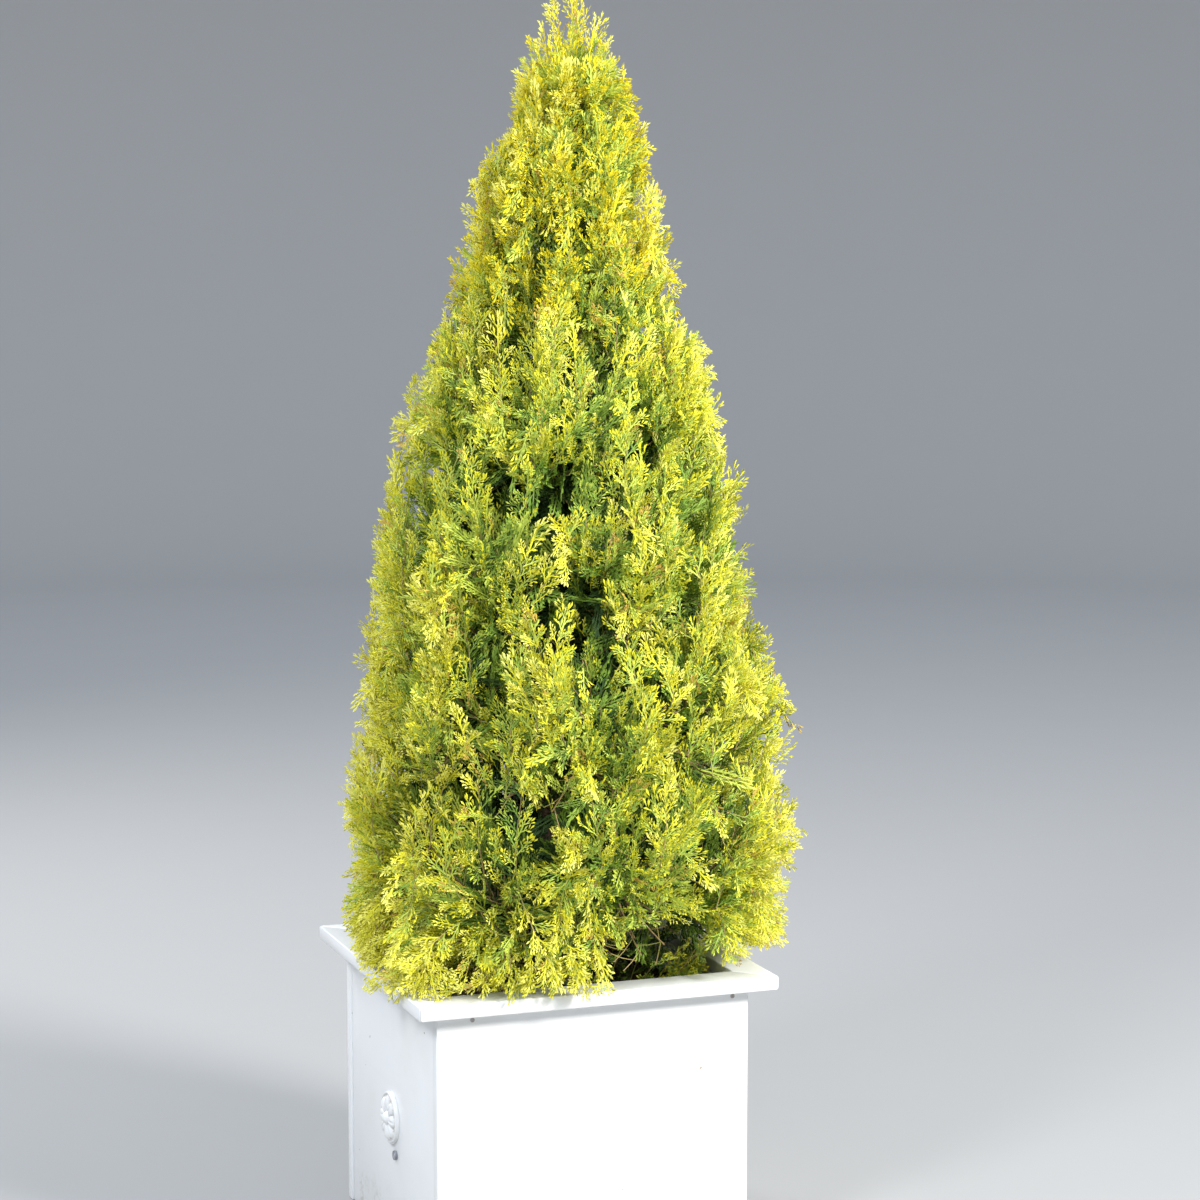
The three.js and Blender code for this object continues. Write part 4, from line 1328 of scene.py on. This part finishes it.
def aside(random, ways, angle):
    """Ways that leave these at an angle, on one side and the other in turn."""
    across = unit(np.cross(ways, UP) + random.normal(0, SHOOT_STRAY, ways.shape))
    across = unit(across - ways * (across * ways).sum(axis=1, keepdims=True))
    side = np.where(np.arange(len(ways)) % 2 == 0, 1, -1)[:, None]
    return unit(ways * math.cos(angle) + across * side * math.sin(angle) + UP * SHOOT_RISE)


def add_old(random, mass, curve, way, old):
    """Old sprays along a twig that runs this way."""
    roots = bend(curve, random.uniform(*old.places, old.count))
    ways = unit(random.normal(0, old.stray, roots.shape) + way * old.along + UP * OLD_RISE)
    lengths = np.full(old.count, spray_length(roots[0, 2]) * old.size)
    # The old sprays are given a low lit, which paints them in the dark greens of shade.
    add_sprays(mass, "fan", roots, ways, on_edge(random, ways), lengths, INNER_LIT)


def fill_thin(mass, curve):
    """More old sprays in painted shade on a twig, from a seed of its own, where the crown would be thin."""
    if THIN_HEIGHTS[0] < curve[2][2] < THIN_HEIGHTS[1]:
        random = np.random.default_rng(mass.seed * 1000 + int(curve[2][2] * 10000))
        add_old(random, mass, curve, unit(curve[2] - curve[0]), THIN)


def shoots_on(random, curve, way, run):
    """The feet and ways of the side shoots of one twig, closer together towards its end."""
    count = int(np.clip(run / SHOOT_EVERY, *SHOOTS))
    share = (np.arange(count) + random.uniform(*SHOOT_UNEVEN, count)) / count
    feet = bend(curve, within(SHOOT_PLACES, share**SHOOT_CROWDING))
    return feet, aside(random, np.repeat(way[None], count, axis=0), SHOOT_ANGLE)


def in_outline(points):
    return in_crown(points, crown_edge(points))


def side_shoots(random, mass, twigs):
    shares = np.linspace(0, 1, TWIG_POINTS)
    feet, ways, lengths = [], [], []
    for k, curve in enumerate(zip(twigs.feet, twigs.elbows, twigs.ends)):
        twig_paths.append((bend(curve, shares), within(TWIG_RADII, shares)))
        add_old(random, mass, curve, twigs.ways[k], INNER)
        fill_thin(mass, curve)
        own_feet, own_ways = shoots_on(random, curve, twigs.ways[k], twigs.runs[k])
        feet.append(own_feet)
        ways.append(own_ways)
        lengths += [twigs.spray_lengths[k]] * len(own_feet)
    feet, ways = np.concatenate(feet), np.concatenate(ways)
    room = np.maximum(reach_of(feet, ways, in_outline) - SPRAY_LEAST, SHOOT_LEAST)
    runs = np.minimum(within(SHOOT_LENGTH, random.random(len(feet))), room)
    tips = feet + ways * runs[:, None]
    shares = np.linspace(0, 1, SHOOT_POINTS)
    girths = within((SHOOT_RADIUS, SHOOT_RADIUS * SHOOT_TIP_SHARE), shares)
    for foot, tip, run in zip(feet, tips, runs):
        curve = (foot, (foot + tip) / 2 - UP * run * SHOOT_SAG, tip)
        shoot_paths.append((bend(curve, shares), girths))
    ways = lifted(random, ways, tips)
    add_fans(random, mass, tips, ways, np.array(lengths) * random.uniform(*SHOOT_FAN, len(tips)))


def grow(mass):
    """Grows one mass from its stem out, with random draws that belong to it alone."""
    random = np.random.default_rng(mass.seed)
    stem, foot_radius = stem_of(mass)
    shares = np.linspace(0, 1, STEM_POINTS)
    twig_paths.append((bend(stem, shares), within((foot_radius, STEM_TIP_RADIUS), shares)))
    twigs = twigs_of(random, mass, stem)
    add_fans(random, mass, twigs.ends, lifted(random, twigs.ways, twigs.ends), twigs.spray_lengths)
    plumes(random, mass, twigs.ends)
    if mass.tier == "skirt":
        hem(random, mass, stem)
    side_shoots(random, mass, twigs)


for mass in masses:
    grow(mass)


# Leader shoots
# The tree's tip is open: six slim upright shoots stand apart above the fork of the leader. Each is a green
# stem under tufts that are smaller and closer to it than the plumes' tufts.
LEADER_FOOT = 1.80
LEADER_POINTS = 9
LEADER_LIT = 0.15
LEADER_TUFTS = 0.85
LEADER_OPEN = 0.45
LEADER_APART_FROM = 0.3
LEADER_SHOOTS_SEED = 7
# The bearing of each shoot in degrees, how far it leans out in mm, and the height of its tip.
LEADER_SHOOTS = (
    (160, 30, 1.945), (-20, 6, 1.962), (-20, 32, 1.865), (160, 37, 1.85), (70, 24, 1.90), (-110, 24, 1.87),
)

random = np.random.default_rng(LEADER_SHOOTS_SEED)
for bearing, apart, top in LEADER_SHOOTS:
    heights = np.linspace(LEADER_FOOT, top, LEADER_POINTS)
    lean = np.linspace(LEADER_APART_FROM, 1, LEADER_POINTS)[:, None]
    line = trunk_axis(heights) + heading(math.radians(bearing)) * lean * apart * MM
    clothe(random, leader, line, LIT_BASE + LEADER_LIT, LEADER_TUFTS, LEADER_OPEN)


# Young shoots
# Nine young shoots rise from the soil in the bare hollow over the front rail. They are short and bright,
# with small open tufts on a thin green stem.
YOUNG_BOW = 12 * MM
YOUNG_POINTS = 6
YOUNG_LIT = (1.2, 1.8)
YOUNG_TUFTS = 0.85
YOUNG_OPEN = 0.9
YOUNG_FOOT = 0.405
# Where each shoot leaves the soil, and where its tip is.
YOUNG_SHOOTS = (
    ((0.120, -0.160), (0.150, -0.236, 0.500)), ((0.150, -0.165), (0.192, -0.232, 0.515)),
    ((0.090, -0.170), (0.108, -0.232, 0.475)), ((0.010, -0.170), (0.030, -0.226, 0.490)),
    ((0.170, -0.140), (0.208, -0.205, 0.490)), ((0.060, -0.130), (0.076, -0.200, 0.525)),
    ((0.130, -0.110), (0.165, -0.140, 0.520)), ((0.100, -0.120), (0.125, -0.180, 0.535)),
    ((0.140, -0.170), (0.172, -0.238, 0.485)),
)

skirt_mass = masses[0]
for (foot_x, foot_y), tip in YOUNG_SHOOTS:
    foot, tip = np.array([foot_x, foot_y, YOUNG_FOOT]), np.array(tip)
    line = bend((foot, (foot + tip) / 2 + UP * YOUNG_BOW, tip), np.linspace(0, 1, YOUNG_POINTS))
    lit = within(YOUNG_LIT, random.random())
    clothe(random, skirt_mass, line, lit, YOUNG_TUFTS, YOUNG_OPEN, bare_hollow=False)


# Bark of twigs and shoots
# Every stem, twig, shoot and plume is a thin tapering limb along the line that it grew on. The woody ones
# are smooth and tan to bronze, and the soft ones are tan to green.
TWIG_SIDES = 4
SHOOT_SIDES = 3
TWIG_CRISP_OVER = 80
TWIG_SCALE_DEPTH = 0.4 * MM
TAN = (0.36, 0.25, 0.11, 1)
BRONZE = (0.14, 0.09, 0.045, 1)
GREEN_STEM = (0.34, 0.36, 0.08, 1)


def twig_finish(name, first, second):
    finish = Finish(name, Specular_IOR_Level=0.3)
    patches = finish.noise(22, 3)
    scales = finish.noise(420, 3)
    colour = finish.mix(patches.rise(0.38, 0.62), first, second)
    return finish.wear(colour, 0.66 + scales * 0.2, scales, TWIG_SCALE_DEPTH)


def paths_mesh(name, chains):
    """Lines of points with a girth each, which limbs are then drawn along."""
    points = np.concatenate([line for line, _ in chains])
    edges = []
    start = 0
    for line, _ in chains:
        edges += [(start + k, start + k + 1) for k in range(len(line) - 1)]
        start += len(line)
    mesh = bpy.data.meshes.new(name)
    mesh.from_pydata(points.tolist(), edges, [])
    girth = mesh.attributes.new("girth", "FLOAT", "POINT")
    girth.data.foreach_set("value", np.concatenate([radii for _, radii in chains]).astype(np.float32))
    return mesh


def limbs_along(name, material, chains, sides):
    works = Works(name, Sides=sides)
    curve = works.node("GeometryNodeMeshToCurve", {}, {"Mesh": works.size("Geometry")})
    round_shape = {"Resolution": works.size("Sides"), "Radius": 1.0}
    ring = works.node("GeometryNodeCurvePrimitiveCircle", {}, round_shape)
    tube = works.node(
        "GeometryNodeCurveToMesh",
        {},
        {"Curve": curve, "Profile Curve": ring, "Scale": works.own("girth", "FLOAT"), "Fill Caps": True},
    )
    works.end(tube, material)
    return works.mesh(name, paths_mesh(name + "_lines", chains))


twigs = limbs_along("twigs", twig_finish("young_bark", BRONZE, TAN), twig_paths, TWIG_SIDES)
placed("twigs", twigs, None, "bark", smooth=TWIG_CRISP_OVER)
shoots = limbs_along("shoots", twig_finish("green_bark", TAN, GREEN_STEM), shoot_paths, SHOOT_SIDES)
placed("shoots", shoots, None, "bark", smooth=TWIG_CRISP_OVER)


# The leaves are tiny scales pressed flat on branchlets, and the branchlets spread in flat fans. A spray's new
# tips are golden and its heart is greener, and light and shade are painted in: the more lit a spray, the
# paler and more golden it is. The old sprays inside the crown are dark green, darker with painted shade.
FAN_LENGTH = 100 * MM
TUFT_LENGTH = 45 * MM
# Each shape has a seed, its number of branches, how wide they spread, how far it droops, the length and width
# of a finger in mm, how far its branches reach as a share of its length, and the gap between fingers in mm.
FAN_SHAPES = (
    (1, 9, 0.75, 0.05, 11, 3.5, 0.27, 7.5), (2, 10, 0.65, 0.10, 11, 3.4, 0.24, 7.5),
    (3, 9, 0.80, -0.07, 12, 3.6, 0.28, 8.0), (4, 11, 0.55, 0.13, 11, 3.4, 0.18, 7.5),
)
TUFT_SHAPES = (
    (7, 6, 0.75, 0.0, 10, 3.4, 0.24, 7), (8, 5, 0.65, 0.2, 11, 3.5, 0.28, 7),
    (9, 6, 0.60, -0.1, 10, 3.4, 0.20, 7), (12, 5, 0.80, 0.1, 11, 3.5, 0.30, 8),
)
OLD_SEEDS = (10, 11)
OLD_BRANCHES = 11
OLD_STALK_SHARES = (0, 0.5, 0.95)
OLD_STALK_WIDTH = 3 * MM
OLD_FIRST_BRANCH = 0.08
OLD_NEXT_BRANCH = 0.07
OLD_SPREAD = (0.4, 0.8)
OLD_BRANCH = SimpleNamespace(length=(0.18, 0.28), width=5 * MM)
OLD_TIP = SimpleNamespace(out=9 * MM, length=0.18, width=4.6 * MM, turn=0.2)
STALK_WIDTH = 2.6 * MM
STALK_SWAY = 0.12
STALK_SHARES = (0, 0.3, 0.6, 0.9)
STALK_END = 0.86
BRANCHED = (0.04, 0.88)
BRANCH_WIDTH = 2.0 * MM
BRANCH_UNEVEN = (0.75, 1.2)
BRANCH_LEAST = 6 * MM
BRANCH_SHORTENS = 2.2
BRANCH_FULL = (0.6, 2)
BRANCH_HANGS = 0.3
BRANCH_NARROWS = 0.6
BRANCH_STRAY = 0.08
BRANCH_TILT = 0.25
BRANCH_BOW = 0.4
BRANCH_PARTS = 3
FINGER_OPEN = (0.3, 0.6)
FINGER_TAPER = (1.15, 0.8)
FINGER_UNEVEN = (0.75, 1.25)
FINGER_SUNK_MM = 3
FINGER_ROLL = 0.5
FINGER_FOLD = 0.3
FINGER_NOD = 0.1
FINGER_WIDEST = (0.6, 0.78)
FINGER_FIRST = 0.8
FINGER_SPARE = 0.5
END_FINGER = 1.1
TOP_FINGER = 1.4
NEW_OUTSIDE = 0.4
NEW_ABOVE = 0.65
OLD_IN_SHADE_BELOW = {"fan": 0.55, "tuft": -0.1}
OLD_LIME_ABOVE = 0.3
OLD_LEAF_GREEN_ABOVE = -0.3
PALE_ABOVE = {"low": 1.2, "middle": 1.22, "top": 1.42}
GOLD_ABOVE = 0.72
LIME_ABOVE = 0.25
BRONZE_SHARE = 0.045
LEAF_SCALE_DEPTH = 0.35 * MM
SPRAY_SEED = 17
DEALING_SEED = 29
SPRAY_UNEVEN = 0.05
TONES = (
    ("pale_gold", (0.82, 0.79, 0.18, 1), (0.75, 0.72, 0.11, 1)),
    ("gold", (0.77, 0.72, 0.05, 1), (0.65, 0.64, 0.035, 1)),
    ("deep_gold", (0.82, 0.70, 0.025, 1), (0.68, 0.60, 0.02, 1)),
    ("lime", (0.57, 0.65, 0.105, 1), (0.44, 0.54, 0.07, 1)),
    ("leaf_green", (0.28, 0.41, 0.06, 1), (0.18, 0.30, 0.045, 1)),
    ("deep_green", (0.065, 0.125, 0.03, 1), (0.033, 0.072, 0.02, 1)),
    ("bronze", (0.62, 0.44, 0.08, 1), (0.48, 0.34, 0.07, 1)),
)
GOLDEN_TONES = ("pale_gold", "gold", "deep_gold", "bronze")
ZONES = {"low": ("skirt", "low"), "middle": ("middle", "upper"), "top": ("shoulder", "spire", "leader")}


class Fan:
    """A spray under construction: fingers of scale leaves in the plane of X, along it, and Y, across it."""

    def __init__(self, seed):
        self.random = np.random.default_rng(seed)
        self.tips = ([], [])
        self.heart = ([], [])

    def finger(self, kept, base, way, length, width):
        """A blunt finger, folded along its midrib and rolled a little about itself."""
        points, faces = kept
        roll = self.random.normal(0, FINGER_ROLL)
        side = np.array([-way[1], way[0], 0]) * math.cos(roll) + UP * math.sin(roll)
        lift = np.cross(way, side) * width * FINGER_FOLD
        start = len(points)
        tip = base + way * length + UP * self.random.normal(0, FINGER_NOD) * length
        middle = base + way * length * self.random.uniform(*FINGER_WIDEST)
        points += [base + lift, middle + side * width / 2, tip + lift, middle - side * width / 2]
        faces += [(start, start + 1, start + 2), (start, start + 2, start + 3)]

    def stalk(self, middles, width):
        """A flat strip along these middles that narrows towards its end."""
        points, faces = self.heart
        start = len(points)
        for k, middle in enumerate(middles):
            after = middles[min(k + 1, len(middles) - 1)]
            before = middles[max(k - 1, 0)]
            way = unit(after - before)
            side = np.array([-way[1], way[0], 0]) * width / 2 * (1 - 0.5 * k / len(middles))
            points += [middle + side, middle - side]
        for a in range(start, len(points) - 2, 2):
            faces.append((a, a + 1, a + 3, a + 2))


def spray_shape(size, seed, branches, spread, droop, finger, width, reach, apart):
    """One fan: a curved stalk, branches on both sides, and fingers on both sides of each branch."""
    fan = Fan(seed)
    random = fan.random
    finger, width, apart = finger * MM, width * MM, apart * MM
    sway = random.normal(0, STALK_SWAY)

    def stalk_at(share):
        return np.array([size * share, size * sway * share**2, -size * droop * share**2])

    fan.stalk([stalk_at(share) for share in STALK_SHARES], STALK_WIDTH)
    for k in range(branches):
        share = within(BRANCHED, (k + 0.5) / branches)
        side = 1 if k % 2 else -1
        grown = min(1, BRANCH_FULL[0] + share * BRANCH_FULL[1])
        full = reach * (1 - share**BRANCH_SHORTENS) * random.uniform(*BRANCH_UNEVEN) * grown
        length = size * full + BRANCH_LEAST
        opening = within((spread, spread * BRANCH_NARROWS), share)
        angle = side * opening + sway + random.normal(0, BRANCH_STRAY)
        tilt = random.normal(0, BRANCH_TILT)
        bow = -side * BRANCH_BOW
        line = [stalk_at(share)]
        for part in range(BRANCH_PARTS):
            way = heading(angle + bow * part / BRANCH_PARTS) + UP * (tilt - droop * BRANCH_HANGS * part)
            line.append(line[-1] + unit(way) * length / BRANCH_PARTS)
        fan.stalk([line[0], line[2]], BRANCH_WIDTH)
        fingers = max(1, round(length / apart))
        for f in range(fingers):
            along = (f + FINGER_FIRST) / (fingers + FINGER_SPARE)
            low = min(int(along * BRANCH_PARTS), BRANCH_PARTS - 1)
            spot = within((line[low], line[low + 1]), along * BRANCH_PARTS - low)
            open_out = (1 if f % 2 else -1) * random.uniform(*FINGER_OPEN)
            way = unit(heading(angle + bow * along + open_out) + UP * tilt)
            long = finger * within(FINGER_TAPER, along) * random.uniform(*FINGER_UNEVEN)
            new = along > NEW_OUTSIDE or share > NEW_ABOVE
            fan.finger(fan.tips if new else fan.heart, spot, way, long, width)
        last = unit(heading(angle + bow) + UP * tilt)
        fan.finger(fan.tips, line[-1] - unit(way) * FINGER_SUNK_MM * MM, last, finger * END_FINGER, width)
    fan.finger(fan.tips, stalk_at(STALK_END), heading(sway * 2), finger * TOP_FINGER, width)
    return fan


def old_shape(seed):
    """An old spray, painted dark for shade and seen only in the gaps: few fingers, and broad ones."""
    fan = Fan(seed)
    fan.stalk([heading(0) * FAN_LENGTH * share for share in OLD_STALK_SHARES], OLD_STALK_WIDTH)
    for k in range(OLD_BRANCHES):
        side = 1 if k % 2 else -1
        base = heading(0) * FAN_LENGTH * (OLD_FIRST_BRANCH + OLD_NEXT_BRANCH * k)
        angle = side * fan.random.uniform(*OLD_SPREAD)
        way = heading(angle)
        length = FAN_LENGTH * fan.random.uniform(*OLD_BRANCH.length)
        fan.finger(fan.heart, base, way, length, OLD_BRANCH.width)
        outer = heading(angle * OLD_TIP.turn)
        fan.finger(fan.heart, base + way * OLD_TIP.out, outer, FAN_LENGTH * OLD_TIP.length, OLD_TIP.width)
    return fan


def leaf_finish(name, bright, shaded):
    """Waxy scale leaves in one colour, a little uneven from place to place."""
    finish = Finish(name, Specular_IOR_Level=0.22)
    patches = finish.noise(28, 3)
    scales = finish.noise(700, 2)
    colour = finish.mix(patches.rise(0.3, 0.7), shaded, bright)
    return finish.wear(colour, 0.5 + scales * 0.2, scales, LEAF_SCALE_DEPTH)


def old_tone_in_shade(lit):
    """The colour of an old spray: painted shade, darker the less lit it is, further in."""
    if lit > OLD_LIME_ABOVE:
        return "lime"
    return "leaf_green" if lit > OLD_LEAF_GREEN_ABOVE else "deep_green"


def tones_of(lit, zone, random):
    """The colours of a spray's tips and heart, painted by how lit it is: paler and more golden in light."""
    if random.random() < BRONZE_SHARE:
        return "bronze", "lime"
    gold = "deep_gold" if zone == "top" else "gold"
    if lit > PALE_ABOVE[zone]:
        return "pale_gold", gold
    if lit > GOLD_ABOVE:
        return gold, "lime"
    if lit > LIME_ABOVE:
        return "lime", "leaf_green"
    return "leaf_green", "deep_green"


zone_of = {tier: zone for zone, tiers in ZONES.items() for tier in tiers}
dealt = {}


def deal(spray, tone, size, shape):
    """Puts one spray, or one of its two parts, among those of its zone and colour."""
    row = (spray.root, spray.turn, size, shape)
    dealt.setdefault((zone_of[spray.tier], tone), []).append(row)


fans = [spray_shape(FAN_LENGTH, *shape) for shape in FAN_SHAPES]
tufts = [spray_shape(TUFT_LENGTH, *shape) for shape in TUFT_SHAPES]
old = [old_shape(seed) for seed in OLD_SEEDS]
young = fans + tufts
# The shelf holds the tips of every young shape, then their hearts in the same order, then the old shapes.
spray_meshes = [shape_mesh(f"tips_{k}", *fan.tips) for k, fan in enumerate(young)]
spray_meshes += [shape_mesh(f"heart_{k}", *fan.heart) for k, fan in enumerate(young + old)]
spray_shelf = shelf("fan_shapes", spray_meshes)
finishes = {name: leaf_finish(f"leaves_{name}", bright, shaded) for name, bright, shaded in TONES}

shapes_of = {"fan": (0, len(fans), FAN_LENGTH), "tuft": (len(fans), len(tufts), TUFT_LENGTH)}
random = np.random.default_rng(DEALING_SEED)
for spray in sprays:
    # Sprays in deep shade become old, dark green sprays: painted shade.
    if spray.lit < OLD_IN_SHADE_BELOW[spray.kind]:
        shape = 2 * len(young) + int(random.integers(0, len(old)))
        deal(spray, old_tone_in_shade(spray.lit), spray.length / FAN_LENGTH, shape)
        continue
    first, count, full = shapes_of[spray.kind]
    shape = first + int(random.integers(0, count))
    # Painted light and shade: a spray's tones are paler and more golden the more lit it is.
    tip_tone, heart_tone = tones_of(spray.lit, zone_of[spray.tier], random)
    deal(spray, tip_tone, spray.length / full, shape)
    deal(spray, heart_tone, spray.length / full, shape + len(young))

for (zone, tone), rows in sorted(dealt.items()):
    name = f"sprays_{zone}_{tone}"
    slot = "foliage_gold" if tone in GOLDEN_TONES else "foliage_lime"
    nodes = [f"mass_{mass.name}" for mass in masses if mass.tier in ZONES[zone]]
    mesh = repeated(name, finishes[tone], spray_shelf, *zip(*rows), seed=SPRAY_SEED, uneven=SPRAY_UNEVEN)
    placed(name, mesh, None, slot, *nodes)


# Studio
# A plain pale floor that curves up into a wall all round, and three soft round lights: a strong warm key from
# the front right, a cool fill from the left and a weak one behind. The camera stands where the photo's stood.
FLOOR_TONE = (0.35, 0.35, 0.345, 1)
FLOOR_MOTTLE = (0.30, 0.30, 0.295, 1)
FLOOR_INNER = (0.01, 2.0)
MOTTLE_DEPTH = 0.2 * MM
SWEEP_START = 9.0
SWEEP_RADIUS = 3.0
SWEEP_STEPS = 16
SWEEP_HEIGHT = 6.0
SWEEP_SIDES = 96
SUN_WHITE = (1.0, 0.98, 0.94)
SKY_WHITE = (0.90, 0.94, 1.0)
# Each light has a name, its place, the point that it is aimed at, its width, its power and its colour.
LIGHTS = (
    ("key", (3.3, -4.6, 3.6), (0, 0, 0.9), 1.6, 620, SUN_WHITE),
    ("fill", (-3.7, -3.0, 4.0), (0, 0, 1.1), 1.4, 185, SKY_WHITE),
    ("back", (-1.5, 3.6, 3.2), (0, 0, 1.2), 2.0, 110, SUN_WHITE),
)
AIR = (0.78, 0.86, 1.0, 1)
AIR_STRENGTH = 1.15
VIEW_YAW = math.radians(20.04)
VIEW_PITCH = math.radians(7.03)
VIEW_PLACE = (-1.558, -4.543, 1.600)
VIEW_FAR = 100
PHOTO_PIXELS = 1200
FOCAL_PIXELS = 3101
SENSOR = 36.0


def sweep_mesh():
    """The floor's outline, from near its middle to the top of the wall, turned all the way round."""
    outline = [(away, 0.0) for away in (*FLOOR_INNER, SWEEP_START)]
    for k in range(1, SWEEP_STEPS + 1):
        angle = math.pi / 2 * k / SWEEP_STEPS
        rise = SWEEP_RADIUS * (1 - math.cos(angle))
        outline.append((SWEEP_START + SWEEP_RADIUS * math.sin(angle), rise))
    outline.append((SWEEP_START + SWEEP_RADIUS, SWEEP_HEIGHT))
    bearings = np.arange(SWEEP_SIDES) * math.tau / SWEEP_SIDES
    points = [(away * math.cos(b), away * math.sin(b), height) for away, height in outline for b in bearings]
    faces = [tuple(range(SWEEP_SIDES))]
    for ring in range(len(outline) - 1):
        for k in range(SWEEP_SIDES):
            here = ring * SWEEP_SIDES + k
            beside = ring * SWEEP_SIDES + (k + 1) % SWEEP_SIDES
            faces.append((here, here + SWEEP_SIDES, beside + SWEEP_SIDES, beside))
    return shape_mesh("studio_floor", points, faces)


def floor_finish():
    finish = Finish("pale_floor", Specular_IOR_Level=0.2)
    mottle = finish.noise(3, 4)
    colour = finish.mix(mottle * 0.12, FLOOR_TONE, FLOOR_MOTTLE)
    return finish.wear(colour, 0.75 + mottle * 0.1, mottle, MOTTLE_DEPTH)


def add_light(name, place, target, size, power, colour):
    data = bpy.data.lights.new(name, "AREA")
    data.shape = "DISK"
    data.size = size
    data.energy = power
    data.color = colour
    light = bpy.data.objects.new(name, data)
    light.location = place
    light.rotation_euler = (Vector(target) - Vector(place)).to_track_quat("-Z", "Y").to_euler()
    scene.collection.objects.link(light)


mesh = sweep_mesh()
mesh.materials.append(floor_finish())
mesh.shade_smooth()
floor = bpy.data.objects.new("studio_floor", mesh)
scene.collection.objects.link(floor)
floor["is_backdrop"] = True

for light in LIGHTS:
    add_light(*light)

world = bpy.data.worlds.new("studio_air")
world.use_nodes = True
background = world.node_tree.nodes["Background"]
background.inputs["Color"].default_value = AIR
background.inputs["Strength"].default_value = AIR_STRENGTH
scene.world = world
scene.view_settings.view_transform = "Standard"

lens = bpy.data.cameras.new("camera")
lens.sensor_width = SENSOR
lens.lens = SENSOR * FOCAL_PIXELS / PHOTO_PIXELS
lens.clip_end = VIEW_FAR
camera = bpy.data.objects.new("camera", lens)
camera.location = VIEW_PLACE
level = math.cos(VIEW_PITCH)
aim = Vector((math.sin(VIEW_YAW) * level, math.cos(VIEW_YAW) * level, -math.sin(VIEW_PITCH)))
camera.rotation_euler = aim.to_track_quat("-Z", "Y").to_euler()
scene.collection.objects.link(camera)
scene.camera = camera

low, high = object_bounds()
